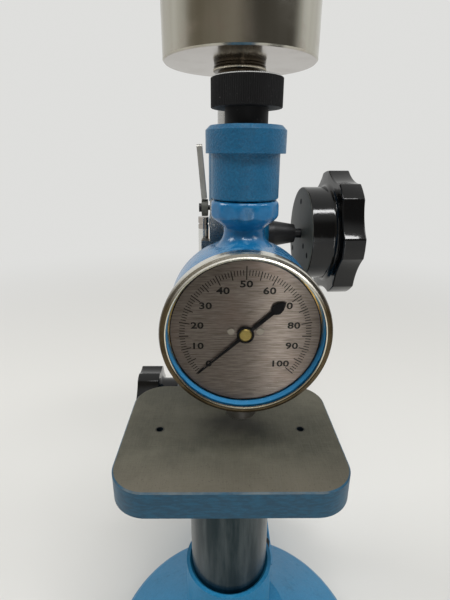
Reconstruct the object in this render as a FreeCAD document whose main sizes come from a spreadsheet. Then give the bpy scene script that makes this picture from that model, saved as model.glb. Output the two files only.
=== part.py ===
import FreeCAD, Part
import math
import os

import Sketcher

Vector = FreeCAD.Vector
Rotation = FreeCAD.Rotation
Placement = FreeCAD.Placement

# Bench-top hardness tester: a round cast base carries a height-adjustable
# table and a rear upright. A weighted shaft slides in the upright, driven by
# a rack and pinion, and its arm holds a dial durometer over the table.
# X runs right, Y away from the user, Z up; the origin is on the bench,
# under the durometer's indenter.

doc = FreeCAD.newDocument("hardness_tester")

# Driving dimensions, in millimetres

DIMENSIONS = [
    ("foot_height", 6.0, "rubber ring and rear feet lift the base off the bench"),
    ("foot_radius", 9.0, "rear rubber foot"),
    ("base_radius", 94.0, "round part of the base"),
    ("base_edge", 9.0, "thickness of the base's edge"),
    ("base_wall", 7.0, "wall of the hollow casting"),
    ("cone_top", 50.0, "height where the base's cone meets the boss"),
    ("cone_top_radius", 36.0, "radius of the cone there"),
    ("tongue_half", 34.0, "half width of the base's rear tongue"),
    ("tongue_back", 131.0, "rear end of the tongue"),
    ("pedestal_top", 36.0, "height of the seat for the upright"),
    ("table_shift", 6.0, "the table's axis lies left of the spindle plane"),
    ("boss_radius", 29.0, "boss for the table column"),
    ("boss_top", 107.4, "height of the boss"),
    ("column_radius", 25.2, "table column"),
    ("column_low", 62.0, "lower end of the column at rest"),
    ("column_wall", 6.0, "wall of the tubular column"),
    ("spigot_radius", 19.0, "spigot pressed into the table"),
    ("spigot_length", 9.0, "depth of the spigot"),
    ("table_top", 212.0, "height of the table's working face"),
    ("table_width", 127.0, "table, left to right"),
    ("table_depth", 99.0, "table, front to back"),
    ("table_thick", 17.4, "table thickness"),
    ("table_corner", 20.0, "corner radius of the table"),
    ("table_hole_gap", 85.0, "distance between the two fixture holes"),
    ("table_hole_radius", 2.15, "fixture hole"),
    ("shaft_y", 84.0, "load shaft axis behind the spindle"),
    ("shaft_radius", 14.0, "load shaft"),
    ("shaft_low", 112.0, "lower end of the load shaft at rest"),
    ("upright_half", 19.5, "half width of the upright"),
    ("upright_front", 52.0, "front face of the upright"),
    ("upright_back", 109.0, "rear face of the upright"),
    ("upright_top", 331.0, "top of the upright"),
    ("panel_depth", 1.2, "depth of the panels in the upright's sides"),
    ("flange_thick", 12.0, "foot flange of the upright"),
    ("flange_half", 31.0, "half width of the flange"),
    ("flange_front", 48.0, "front of the flange"),
    ("flange_back", 126.0, "rear of the flange"),
    ("bush_bore", 17.0, "bore of the upright for the bushes"),
    ("chamber_low", 100.0, "floor of the damping chamber"),
    ("chamber_high", 150.0, "top of the damping chamber"),
    ("bush_length", 24.0, "length of a shaft bush"),
    ("upper_bush_low", 284.0, "lower end of the upper bush"),
    ("running", 0.05, "radial clearance of a running fit"),
    ("pinion_z", 319.0, "height of the lift pinion's axis"),
    ("lift_module", 1.0, "module of the lift rack and pinion"),
    ("lift_teeth", 14.0, "teeth of the lift pinion"),
    ("rack_flat", 13.4, "rack tooth tips from the shaft's axis"),
    ("drive_turn", 3.5, "rack and pinion stand turned about the shaft, in degrees"),
    ("pinion_shaft_radius", 3.1, "shaft of the lift knob"),
    ("ferrule_radius", 8.4, "large end of the tapered ferrule"),
    ("ferrule_small", 6.0, "small end of the ferrule"),
    ("ferrule_end", 35.8, "outer end of the ferrule"),
    ("knob_inner", 40.5, "inner face of the lift knob's hub"),
    ("knob_step", 52.8, "where the hub meets the lobes"),
    ("knob_outer", 67.2, "outer face of the lift knob"),
    ("knob_hub_radius", 30.0, "hub of the lift knob"),
    ("knob_radius", 40.2, "lift knob over its lobes"),
    ("lock_y", 84.0, "axis of the lock knob"),
    ("lock_z", 181.0, "height of the lock knob's axis"),
    ("lock_outer", 75.0, "outer face of the lock knob"),
    ("lock_step", 59.0, "lobes end and hub starts"),
    ("lock_inner", 46.0, "inner end of the lock knob's hub"),
    ("lock_radius", 26.5, "lock knob over its lobes"),
    ("lock_hub_radius", 15.0, "hub of the lock knob"),
    ("lock_stud_radius", 5.0, "lock stud"),
    ("barrel_low", 348.1, "lower end of the barrel"),
    ("barrel_step", 368.9, "where the barrel meets its collar"),
    ("barrel_top", 381.0, "top of the barrel's collar"),
    ("barrel_radius", 16.4, "barrel"),
    ("barrel_collar_radius", 19.05, "collar of the barrel"),
    ("arm_half", 13.0, "half width of the arm"),
    ("arm_low", 350.0, "underside of the arm"),
    ("arm_high", 377.0, "top of the arm"),
    ("clamp_radius", 20.0, "clamp hub of the arm"),
    ("clamp_low", 338.5, "lower face of the clamp hub"),
    ("neck_radius", 10.1, "black neck of the knurled screw"),
    ("head_low", 388.4, "underside of the knurled head"),
    ("head_top", 401.0, "top of the knurled head"),
    ("head_radius", 16.5, "knurled head"),
    ("shank_radius", 5.0, "shank of the knurled screw"),
    ("shank_low", 356.0, "lower end of the shank"),
    ("weight_radius", 48.0, "weight"),
    ("weight_low", 422.0, "underside of the weight"),
    ("weight_high", 472.0, "top of the weight"),
    ("weight_hub_radius", 13.8, "collar under the weight"),
    ("weight_lip_radius", 16.8, "lip at the lower end of that collar"),
    ("weight_lip", 3.5, "height of the lip"),
    ("weight_hub_low", 404.0, "lower face of that collar"),
    ("case_z", 287.9, "centre of the durometer's dial"),
    ("case_radius", 39.6, "durometer case"),
    ("case_front", 27.0, "case's outer wall starts this far forward"),
    ("rim_front", 31.6, "front of the case's inner rim"),
    ("case_back", 11.0, "rear face of the case"),
    ("rim_radius", 38.6, "rim that the bezel grips"),
    ("dial_bore", 37.1, "bore in front of the movement"),
    ("movement_bore", 33.0, "bore behind the ledge"),
    ("ledge_y", 23.4, "ledge for the movement, forward of the spindle"),
    ("shoulder_half", 15.0, "half width at the top of the shoulders"),
    ("waist_radius", 10.3, "waist between the shoulders and the collar"),
    ("case_neck_radius", 9.65, "neck of the case"),
    ("case_collar_radius", 16.6, "faceted collar of the case, over corners"),
    ("case_collar_low", 337.7, "underside of that collar"),
    ("case_collar_high", 347.6, "top of that collar"),
    ("case_spigot_high", 362.0, "top of the case's spigot in the barrel"),
    ("bezel_radius", 40.7, "bezel"),
    ("bezel_front", 34.4, "front of the bezel"),
    ("bezel_lip_radius", 37.4, "bezel's sight opening"),
    ("crystal_thick", 1.5, "crystal"),
    ("dial_front", 28.4, "front of the dial plate"),
    ("dial_radius", 36.3, "dial plate"),
    ("dial_thick", 1.2, "dial plate"),
    ("plate_thick", 1.5, "movement plates"),
    ("rear_plate_y", 7.0, "rear face of the rear movement plate"),
    ("cover_thick", 3.0, "back cover"),
    ("cover_radius", 36.0, "back cover"),
    ("boss_low", 234.0, "lower end of the case's spindle boss"),
    ("spindle_boss_radius", 9.5, "spindle boss of the case"),
    ("foot_low", 225.0, "presser foot's face"),
    ("presser_radius", 9.0, "presser foot"),
    ("stem_radius", 3.0, "indenter stem"),
    ("stem_high", 308.0, "upper end of the stem"),
    ("indenter_reach", 2.5, "travel of the indenter"),
    ("spring_radius", 4.2, "calibrated spring, to the middle of its wire"),
    ("spring_wire", 0.5, "half thickness of the spring wire"),
    ("gear_module", 0.4, "module of the movement"),
    ("small_teeth", 12.0, "teeth of both movement pinions"),
    ("wheel_teeth", 53.0, "teeth of the arbor wheel"),
    ("stem_rack", 2.6, "rack tooth tips from the stem's axis"),
    ("tube_x", 22.9, "bleed tube, left of the spindle plane"),
    ("tube_y", 56.0, "bleed tube behind the spindle"),
    ("tube_radius", 3.3, "bleed tube"),
    ("tube_low", 128.0, "lower end of the bleed tube"),
    ("gland_low", 324.0, "lower face of the gland"),
    ("gland_high", 331.7, "top of the gland"),
    ("pivot_z", 337.0, "axis of the release lever"),
    ("lever_length", 37.3, "release lever above its axis"),
    ("lever_thick", 3.2, "release lever strip"),
    ("lever_width", 9.0, "release lever strip, front to back"),
]


class Size:
    """A length that carries both its value and its formula in the sheet."""

    def __init__(self, value, text):
        self.value = float(value)
        self.text = text

    def combine(self, other, sign, value):
        return Size(value, "(%s %s %s)" % (self.text, sign, formula(other)))

    def __add__(self, other):
        return self.combine(other, "+", self.value + number(other))

    def __radd__(self, other):
        return self + other

    def __sub__(self, other):
        return self.combine(other, "-", self.value - number(other))

    def __rsub__(self, other):
        return -self + other

    def __mul__(self, other):
        return self.combine(other, "*", self.value * number(other))

    def __rmul__(self, other):
        return self * other

    def __truediv__(self, other):
        return self.combine(other, "/", self.value / number(other))

    def __neg__(self):
        return Size(-self.value, "(-1 * %s)" % self.text)

    def __float__(self):
        return self.value


def number(size):
    return float(size)


def formula(size):
    return size.text if isinstance(size, Size) else "%.6f" % size


def root(size):
    return Size(math.sqrt(size.value), "sqrt(%s)" % size.text)


class Dimensions:
    """The sheet of driving dimensions, read by name."""

    def __init__(self, rows):
        self.sheet = doc.addObject("Spreadsheet::Sheet", "Dims")
        for row, (name, value, note) in enumerate(rows, start=1):
            self.sheet.set("A%d" % row, note)
            self.sheet.set("B%d" % row, str(value))
            self.sheet.setAlias("B%d" % row, name)
            setattr(self, name, Size(value, "Dims." + name))


d = Dimensions(DIMENSIONS)
doc.recompute()

nodes = []


def node(thing, name):
    """Name a finished piece; its name is also its file's name."""
    thing.Label = name
    nodes.append(thing)
    return thing


# Placing and primitive shapes

TURNS = {
    "X": Rotation(Vector(0, 1, 0), 90),
    "Y": Rotation(Vector(1, 0, 0), -90),
    "Z": Rotation(),
}


def place(thing, at, turn="Z"):
    """Put a thing's own Z axis along X, Y or Z at a point bound to the sheet."""
    rotation = TURNS[turn] if isinstance(turn, str) else turn
    thing.Placement = Placement(Vector(*[number(v) for v in at]), rotation)
    for letter, value in zip("xyz", at):
        thing.setExpression("Placement.Base." + letter, formula(value))
    return thing


def rod(label, radius, length, at, turn="Z"):
    thing = doc.addObject("Part::Cylinder", label)
    thing.setExpression("Radius", formula(radius))
    thing.setExpression("Height", formula(length))
    return place(thing, at, turn)


def taper(label, radius, end_radius, length, at, turn="Z"):
    thing = doc.addObject("Part::Cone", label)
    thing.setExpression("Radius1", formula(radius))
    thing.setExpression("Radius2", formula(end_radius))
    thing.setExpression("Height", formula(length))
    return place(thing, at, turn)


def block(label, low, high):
    """A box between two corners."""
    thing = doc.addObject("Part::Box", label)
    for name, a, b in zip(("Length", "Width", "Height"), low, high):
        thing.setExpression(name, formula(b - a))
    return place(thing, low)


def union(label, parts):
    thing = doc.addObject("Part::MultiFuse", label)
    thing.Shapes = parts
    thing.Refine = True
    return thing


def remove(label, base, tools):
    """Cut every tool from the base."""
    thing = doc.addObject("Part::Cut", label)
    thing.Base = base
    thing.Tool = tools[0] if len(tools) == 1 else union(label + " tools", tools)
    return thing


def group(label, parts):
    """Separate solids kept as one node."""
    thing = doc.addObject("Part::Compound", label)
    thing.Links = parts
    return thing


# Sketched bodies

def origin_plane(body, role):
    return next(f for f in body.Origin.OriginFeatures if f.Role == role)


def sketch_on(body, name, role="XY_Plane", offset=0.0):
    sketch = body.newObject("Sketcher::SketchObject", name)
    sketch.AttachmentSupport = [(origin_plane(body, role), "")]
    sketch.MapMode = "FlatFace"
    sketch.setExpression("AttachmentOffset.Base.z", formula(offset))
    return sketch


def hold(sketch, kind, geometry, point, value):
    """Hold one distance of a sketch point from the origin at a value of the sheet."""
    index = sketch.addConstraint(
        Sketcher.Constraint(kind, -1, 1, geometry, point, number(value)))
    sketch.setExpression("Constraints[%d]" % index, formula(value))


def pin(sketch, geometry, point, x, y):
    hold(sketch, "DistanceX", geometry, point, x)
    hold(sketch, "DistanceY", geometry, point, y)


def outline(sketch, points):
    """Closed outline of straight runs through points from the sheet."""
    count = len(points)
    spots = [Vector(number(x), number(y), 0) for x, y in points]
    for i in range(count):
        sketch.addGeometry(Part.LineSegment(spots[i], spots[(i + 1) % count]), False)
    for i in range(count):
        sketch.addConstraint(Sketcher.Constraint("Coincident", i, 2, (i + 1) % count, 1))
    for i, (x, y) in enumerate(points):
        pin(sketch, i, 1, x, y)


def circle_in(sketch, radius, x=0.0, y=0.0):
    index = sketch.addGeometry(
        Part.Circle(Vector(number(x), number(y), 0), Vector(0, 0, 1), number(radius)), False)
    row = sketch.addConstraint(Sketcher.Constraint("Radius", index, number(radius)))
    sketch.setExpression("Constraints[%d]" % row, formula(radius))
    pin(sketch, index, 3, x, y)


def pad(body, sketch, length, reverse=False):
    feature = body.newObject("PartDesign::Pad", sketch.Name + "_pad")
    feature.Profile = sketch
    feature.setExpression("Length", formula(length))
    feature.Reversed = reverse
    return feature


def pocket(body, sketch, length, reverse=False):
    feature = body.newObject("PartDesign::Pocket", sketch.Name + "_pocket")
    feature.Profile = sketch
    feature.setExpression("Length", formula(length))
    feature.Reversed = reverse
    return feature


def lathe(name, points, at, turn="Z"):
    """Body turned about its own Z axis from a half outline of (radius, height)."""
    body = doc.addObject("PartDesign::Body", name)
    sketch = sketch_on(body, name + "_profile", "XZ_Plane")
    outline(sketch, points)
    turned = body.newObject("PartDesign::Revolution", name + "_turned")
    turned.Profile = sketch
    turned.ReferenceAxis = (sketch, ["V_Axis"])
    turned.Angle = 360
    return place(body, at, turn)


def dress(body, kind, size, wanted):
    """Fillet or chamfer the edges of the body's tip that the test picks."""
    doc.recompute()
    base = body.Tip
    names = ["Edge%d" % (i + 1) for i, e in enumerate(base.Shape.Edges) if wanted(e)]
    feature = body.newObject("PartDesign::" + kind, "%s_%s" % (base.Name, kind.lower()))
    feature.Base = (base, names)
    feature.setExpression("Radius" if kind == "Fillet" else "Size", formula(size))
    doc.recompute()
    return feature


def upright_edge(edge):
    box = edge.BoundBox
    return box.ZLength > 1.0 and box.XLength < 0.01 and box.YLength < 0.01


def level_edge(height):
    """Test for edges that lie flat at a height of the body's own frame."""
    def test(edge):
        box = edge.BoundBox
        return box.ZLength < 0.01 and abs(box.ZMin - number(height)) < 0.01
    return test


def involute(angle):
    return math.tan(angle) - angle


PRESSURE = math.radians(20)
TOOTH_SHARE = 0.88
ADDENDUM = 0.92
DEDENDUM = 1.2


def gear_solid(module, teeth, width):
    """Spur gear along Z with involute flanks and a tooth centred on +X."""
    pitch = module * teeth / 2
    base = pitch * math.cos(PRESSURE)
    tip = pitch + ADDENDUM * module
    low = pitch - DEDENDUM * module
    half = math.pi / 2 / teeth * TOOTH_SHARE

    def spread(radius):
        if radius <= base:
            return half + involute(PRESSURE)
        return half + involute(PRESSURE) - involute(math.acos(base / radius))

    radii = [low, pitch, tip]
    flank = [(r, spread(r)) for r in radii]
    points = []
    for tooth in range(int(teeth)):
        centre = 2 * math.pi * tooth / teeth
        for r, a in flank:
            points.append(Vector(r * math.cos(centre - a), r * math.sin(centre - a), 0))
        for r, a in reversed(flank):
            points.append(Vector(r * math.cos(centre + a), r * math.sin(centre + a), 0))
    return Part.Face(Part.makePolygon(points + points[:1])).extrude(Vector(0, 0, width))


# Base: hollow round casting with a boss for the table column and a rear
# tongue that carries the upright; it stands on a rubber ring and two feet

def make_base():
    edge_top = d.foot_height + d.base_edge
    cone = lathe("base_cone", [
        (0.0, d.foot_height),
        (d.base_radius, d.foot_height),
        (d.base_radius, edge_top - 3.0),
        (d.base_radius - 3.0, edge_top),
        (d.cone_top_radius, d.cone_top),
        (0.0, d.cone_top),
    ], (0.0, 0.0, 0.0))

    tongue = doc.addObject("PartDesign::Body", "base_tongue")
    plan = sketch_on(tongue, "tongue_plan")
    outline(plan, [
        (-d.tongue_half, 40.0), (d.tongue_half, 40.0),
        (d.tongue_half, d.tongue_back), (-d.tongue_half, d.tongue_back)])
    pad(tongue, plan, d.pedestal_top - d.foot_height)
    place(tongue, (0.0, 0.0, d.foot_height))
    dress(tongue, "Fillet", 16.0, lambda e: upright_edge(e) and e.BoundBox.YMax > 100)
    dress(tongue, "Chamfer", 2.5, level_edge(d.pedestal_top - d.foot_height))

    boss = rod("base_boss", d.boss_radius, d.boss_top - d.foot_height,
               (-d.table_shift, 0.0, d.foot_height))
    solid = union("base_solid", [cone, tongue, boss])

    bore_radius = d.column_radius + d.running
    bore = rod("base_bore", bore_radius, d.boss_top, (-d.table_shift, 0.0, 0.0))
    mouth = taper("base_bore_mouth", bore_radius, bore_radius + 1.4, 1.4,
                  (-d.table_shift, 0.0, d.boss_top - 1.4))
    hollow = lathe("base_hollow", [
        (d.boss_radius + 11.0, d.foot_height - 1.0),
        (d.base_radius - d.base_wall, d.foot_height - 1.0),
        (d.base_radius - d.base_wall, d.foot_height + 1.5),
        (d.boss_radius + 11.0, d.cone_top - 14.0),
    ], (0.0, 0.0, 0.0))
    keep = block("base_spine", (-d.tongue_half, 30.0, 0.0),
                 (d.tongue_half, d.tongue_back, d.pedestal_top))
    hollow_cut = remove("base_hollow_cut", hollow, [keep])
    under = block("base_tongue_hollow",
                  (7.0 - d.tongue_half, 44.0, d.foot_height - 1.0),
                  (d.tongue_half - 7.0, d.tongue_back - 7.0, d.pedestal_top - 12.0))
    screw_hole = rod("base_clamp_hole", 4.0, 14.0,
                     (-d.table_shift, d.column_radius - 2.0, CLAMP_Z), "Y")
    bolts = [rod("base_bolt_hole", 3.3, 20.0, (x, y, d.pedestal_top - 20.0))
             for x, y in bolt_places()]
    seat = block("base_seat_cut", (-d.flange_half - 1.5, d.flange_front - 1.5, d.pedestal_top),
                 (d.flange_half + 1.5, d.tongue_back + 1.0, d.cone_top + 10.0))
    return node(remove("base_casting", solid,
                       [bore, mouth, hollow_cut, under, screw_hole, seat] + bolts),
                "base_casting")


CLAMP_Z = 84.0
BOLT_X = 25.5
REAR_FOOT_X = 20.0


def bolt_places():
    return [(x, y) for x in (-BOLT_X, BOLT_X)
            for y in (d.flange_front + 7.0, d.flange_back - 7.0)]


def make_feet():
    """Rubber ring under the round rim and two round feet under the tongue."""
    inner = d.base_radius - d.base_wall + 1.0
    outer = d.base_radius - 1.5
    node(lathe("foot_ring", [
        (inner, 0.0), (outer - 1.0, 0.0), (outer, 1.0),
        (outer, d.foot_height), (inner, d.foot_height)], (0.0, 0.0, 0.0)), "foot_ring")
    feet = []
    for x in (-REAR_FOOT_X, REAR_FOOT_X):
        feet.append(lathe("foot", [
            (0.0, 0.0), (d.foot_radius - 1.5, 0.0), (d.foot_radius, 1.5),
            (d.foot_radius - 0.8, d.foot_height), (0.0, d.foot_height)],
            (x, d.tongue_back - 17.0, 0.0)))
    return node(group("rear_feet", feet), "rear_feet")


def make_clamp_screw():
    head = rod("clamp_head", 6.5, 8.0, (-d.table_shift, d.boss_radius, CLAMP_Z), "Y")
    shank = rod("clamp_shank", 4.0, d.boss_radius - d.column_radius - 0.2,
                (-d.table_shift, d.column_radius + 0.2, CLAMP_Z), "Y")
    socket = rod("clamp_socket", 3.0, 4.0, (-d.table_shift, d.boss_radius + 4.0, CLAMP_Z), "Y")
    screw = union("clamp_blank", [head, shank])
    return node(remove("table_clamp_screw", screw, [socket]), "table_clamp_screw")


# Table: ground iron plate pressed onto a tubular steel column

def make_table():
    plate = doc.addObject("PartDesign::Body", "table_blank")
    plan = sketch_on(plate, "table_plan")
    x = d.table_width / 2
    y = d.table_depth / 2
    outline(plan, [(-x, -y), (x, -y), (x, y), (-x, y)])
    pad(plate, plan, d.table_thick)
    place(plate, (-d.table_shift, 0.0, d.table_top - d.table_thick))
    dress(plate, "Fillet", d.table_corner, upright_edge)
    dress(plate, "Chamfer", 0.8, level_edge(d.table_thick))
    dress(plate, "Chamfer", 1.2, level_edge(0.0))
    under = d.table_top - d.table_thick
    socket = rod("table_socket", d.spigot_radius, d.spigot_length, (-d.table_shift, 0.0, under))
    holes = [rod("table_hole", d.table_hole_radius, d.table_thick,
                 (sign * d.table_hole_gap / 2 - d.table_shift, 0.0, under))
             for sign in (-1.0, 1.0)]
    node(remove("table_plate", plate, [socket] + holes), "table_plate")

    top = under + d.spigot_length
    inner = d.column_radius - d.column_wall
    node(lathe("table_column", [
        (inner, d.column_low), (d.column_radius - 1.0, d.column_low),
        (d.column_radius, d.column_low + 1.0), (d.column_radius, under),
        (d.spigot_radius, under), (d.spigot_radius, top),
        (0.0, top), (0.0, under - 8.0), (inner, under - 8.0)],
        (-d.table_shift, 0.0, 0.0)), "table_column")


# Upright: one casting that guides the load shaft, holds the lift pinion and
# closes the damping chamber under the shaft

def make_upright():
    body = doc.addObject("PartDesign::Body", "upright_blank")
    flange = sketch_on(body, "upright_flange")
    outline(flange, [
        (-d.flange_half, d.flange_front), (d.flange_half, d.flange_front),
        (d.flange_half, d.flange_back), (-d.flange_half, d.flange_back)])
    pad(body, flange, d.flange_thick)
    place(body, (0.0, 0.0, d.pedestal_top))
    dress(body, "Fillet", 9.0, upright_edge)
    column = sketch_on(body, "upright_column", offset=d.flange_thick)
    outline(column, [
        (-d.upright_half, d.upright_front), (d.upright_half, d.upright_front),
        (d.upright_half, d.upright_back), (-d.upright_half, d.upright_back)])
    pad(body, column, d.upright_top - d.pedestal_top - d.flange_thick)
    tall = number(d.upright_top - d.pedestal_top) - 20.0
    dress(body, "Fillet", 7.0, lambda e: upright_edge(e) and e.BoundBox.ZLength > tall)
    dress(body, "Chamfer", 1.5, level_edge(d.upright_top - d.pedestal_top))
    dress(body, "Chamfer", 2.5,
          lambda e: level_edge(d.flange_thick)(e)
          and abs(e.BoundBox.XMin) < number(d.upright_half) + 0.1
          and abs(e.BoundBox.XMax) < number(d.upright_half) + 0.1)

    chamber_radius = d.shaft_radius + d.running
    chamber = rod("upright_chamber", chamber_radius, d.chamber_high - d.chamber_low,
                  (0.0, d.shaft_y, d.chamber_low))
    bore = rod("upright_bore", d.bush_bore, d.upright_top - d.chamber_high,
               (0.0, d.shaft_y, d.chamber_high))
    cross = rod("upright_cross_bore", d.ferrule_radius, 2 * d.upright_half + 6.0,
                drive_point(-d.upright_half - 3.0), drive_axis())
    lock = rod("upright_lock_hole", d.lock_stud_radius + d.running, d.upright_half,
               (-d.upright_half, d.lock_y, d.lock_z), "X")
    port = rod("upright_port", 1.5, d.shaft_y - d.upright_front,
               (-12.0, d.upright_front, d.chamber_low + 4.0), "Y")
    bolts = [rod("upright_bolt_hole", 3.3, d.flange_thick, (x, y, d.pedestal_top))
             for x, y in bolt_places()]
    bolts += [rod("upright_spot_face", 6.0, 20.0, (x, y, d.pedestal_top + d.flange_thick))
              for x, y in bolt_places()]
    panels = []
    for sign in (-1.0, 1.0):
        x = sign * d.upright_half
        panels.append(block("upright_panel",
                            (x - d.panel_depth, d.upright_front + 14.0, d.pedestal_top + 28.0),
                            (x + d.panel_depth, d.upright_back - 14.0, d.lock_z - 24.0)))
        panels.append(block("upright_panel",
                            (x - d.panel_depth, d.upright_front + 14.0, d.lock_z + 24.0),
                            (x + d.panel_depth, d.upright_back - 14.0, d.pinion_z - 32.0)))
    node(remove("upright_casting", body,
                [chamber, bore, cross, lock, port] + bolts + panels), "upright_casting")

    screws = []
    for x, y in bolt_places():
        head = rod("bolt_head", 5.0, 6.0, (x, y, d.pedestal_top + d.flange_thick))
        shank = rod("bolt_shank", 3.3, d.flange_thick + 14.0, (x, y, d.pedestal_top - 14.0))
        socket = rod("bolt_socket", 2.5, 3.0,
                     (x, y, d.pedestal_top + d.flange_thick + 3.0))
        screws.append(remove("bolt", union("bolt_blank", [head, shank]), [socket]))
    node(group("upright_bolts", screws), "upright_bolts")


def pinion_reach():
    """Distance between the pinion's axis and the load shaft's."""
    return d.rack_flat - ADDENDUM * d.lift_module + d.lift_module * d.lift_teeth / 2


def trig(name, angle):
    """Sine or cosine of an angle of the sheet, in degrees."""
    value = getattr(math, name)(math.radians(number(angle)))
    return Size(value, "%s(%s * 1 deg)" % (name, angle.text))


def drive_point(along):
    """Point of the pinion's axis, at a distance from where it passes the load shaft."""
    sine = trig("sin", d.drive_turn)
    cosine = trig("cos", d.drive_turn)
    reach = pinion_reach()
    return (reach * sine + cosine * along, d.shaft_y - reach * cosine + sine * along, d.pinion_z)


def drive_axis(phase=0.0):
    """Turns a thing's Z axis along the pinion's axis, after a turn about itself."""
    about_shaft = Rotation(Vector(0, 0, 1), number(d.drive_turn))
    return about_shaft.multiply(TURNS["X"]).multiply(Rotation(Vector(0, 0, 1), phase))


def make_bushes():
    inner = d.shaft_radius + d.running
    for name, low in (("lower_shaft_bush", d.chamber_high),
                      ("upper_shaft_bush", d.upper_bush_low)):
        node(lathe(name, [(inner, 0.0), (d.bush_bore, 0.0),
                          (d.bush_bore, d.bush_length), (inner, d.bush_length)],
                   (0.0, d.shaft_y, low)), name)
    node(lathe("shaft_wiper", [
        (inner, -3.0), (d.bush_bore, -3.0), (d.bush_bore, 0.0), (18.5, 0.0),
        (18.5, 2.0), (15.5, 5.0), (inner, 5.0)],
        (0.0, d.shaft_y, d.upright_top)), "shaft_wiper")
    seal_low = d.shaft_low + 4.0
    node(lathe("shaft_seal", [
        (d.shaft_radius - 2.5, 0.0), (d.shaft_radius, 0.0),
        (d.shaft_radius, 4.0), (d.shaft_radius - 2.5, 4.0)],
        (0.0, d.shaft_y, seal_low)), "shaft_seal")


# Lift drive: a rack cut in the load shaft meshes with a pinion that the
# large lobed knob turns

def make_shaft():
    body = lathe("load_shaft", [
        (0.0, d.shaft_low), (d.shaft_radius - 1.0, d.shaft_low),
        (d.shaft_radius, d.shaft_low + 1.0), (d.shaft_radius, d.shaft_low + 4.0),
        (d.shaft_radius - 2.5, d.shaft_low + 4.0), (d.shaft_radius - 2.5, d.shaft_low + 8.0),
        (d.shaft_radius, d.shaft_low + 8.0), (d.shaft_radius, d.weight_hub_low),
        (9.0, d.weight_hub_low), (9.0, d.weight_low + 20.0), (0.0, d.weight_low + 20.0)],
        (0.0, d.shaft_y, 0.0))
    body.Placement = Placement(body.Placement.Base,
                               Rotation(Vector(0, 0, 1), number(d.drive_turn)))
    doc.recompute()
    module = number(d.lift_module)
    pitch_line = number(d.rack_flat) - ADDENDUM * module
    flat = sketch_on(body, "rack_flat_plan", "YZ_Plane", -20.0)
    low = number(d.pinion_z) - 52.0
    high = number(d.pinion_z) + 12.0
    outline(flat, [(-20.0, low), (-d.rack_flat, low), (-d.rack_flat, high), (-20.0, high)])
    pocket(body, flat, 40.0, reverse=True)
    gap = sketch_on(body, "rack_gap_plan", "YZ_Plane", -20.0)
    tip = -pitch_line - ADDENDUM * module
    deep = -pitch_line + DEDENDUM * module
    slope = math.tan(PRESSURE)
    quarter = math.pi * module / 4 * (2 - TOOTH_SHARE)
    wide = quarter + ADDENDUM * module * slope
    narrow = quarter - DEDENDUM * module * slope
    first = d.pinion_z - 15 * math.pi * module
    outline(gap, [(tip - 0.2, first - wide), (deep, first - narrow),
                  (deep, first + narrow), (tip - 0.2, first + wide)])
    cut = pocket(body, gap, 40.0, reverse=True)
    doc.recompute()
    row = body.newObject("PartDesign::LinearPattern", "rack_teeth")
    row.Originals = [cut]
    row.Direction = (gap, ["V_Axis"])
    row.Length = 18 * math.pi * module
    row.Occurrences = 19
    body.Tip = row
    node(body, "load_shaft")


def make_pinion():
    module = number(d.lift_module)
    width = 9.0
    gear = doc.addObject("Part::Feature", "pinion_teeth")
    gear.Shape = gear_solid(module, number(d.lift_teeth), width)
    gear.Placement = Placement(
        Vector(*[number(v) for v in drive_point(-width / 2)]), drive_axis(TOOTH_TO_RACK))
    axle = rod("pinion_axle", d.pinion_shaft_radius, d.knob_outer - 5.0 + d.upright_half - 4.0,
               drive_point(4.0 - d.upright_half), drive_axis())
    node(union("pinion_shaft", [gear, axle]), "pinion_shaft")

    bore = d.pinion_shaft_radius + d.running
    node(lathe("pinion_ferrule", [
        (bore, BEARING_GAP), (d.ferrule_radius, BEARING_GAP),
        (d.ferrule_radius, d.upright_half + 2.0),
        (d.ferrule_small, d.ferrule_end), (bore, d.ferrule_end)],
        drive_point(0.0), drive_axis()), "pinion_ferrule")
    floor = d.upright_half - 3.0
    node(lathe("pinion_end_bush", [
        (bore, -floor), (0.0, -floor), (0.0, -d.upright_half),
        (d.ferrule_radius, -d.upright_half), (d.ferrule_radius, -BEARING_GAP),
        (bore, -BEARING_GAP)],
        drive_point(0.0), drive_axis()), "pinion_end_bush")


BEARING_GAP = 9.8
TOOTH_TO_RACK = 90.0
LIFT_KNOB_PHASE = -8.9


def lobed_knob(name, inner, step, outer, hub, radius, groove, groove_at, bore, at, turn):
    """Moulded knob along its own Z: a round hub, then seven lobes."""
    body = doc.addObject("PartDesign::Body", name + "_body")
    disc = sketch_on(body, name + "_disc", offset=step)
    circle_in(disc, radius)
    pad(body, disc, outer - step)
    flute = sketch_on(body, name + "_flute", offset=outer)
    circle_in(flute, groove, groove_at, 0.0)
    cut = pocket(body, flute, outer - step)
    doc.recompute()
    flutes = body.newObject("PartDesign::PolarPattern", name + "_flutes")
    flutes.Originals = [cut]
    flutes.Axis = (flute, ["N_Axis"])
    flutes.Angle = 360
    flutes.Occurrences = 7
    body.Tip = flutes
    dress(body, "Chamfer", radius * 0.05, level_edge(outer))
    hub_plan = sketch_on(body, name + "_hub", offset=inner)
    circle_in(hub_plan, hub)
    pad(body, hub_plan, step - inner + 1.0)
    hole = sketch_on(body, name + "_bore", offset=inner)
    circle_in(hole, bore)
    pocket(body, hole, outer - inner - 5.0, reverse=True)
    doc.recompute()
    place(body, at, turn)
    return node(body, name)


def make_lift_knob():
    lobed_knob("lift_knob", d.knob_inner, d.knob_step, d.knob_outer, d.knob_hub_radius,
               d.knob_radius, 12.0, d.knob_radius + 5.5, d.pinion_shaft_radius,
               drive_point(0.0), drive_axis(LIFT_KNOB_PHASE))


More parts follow.
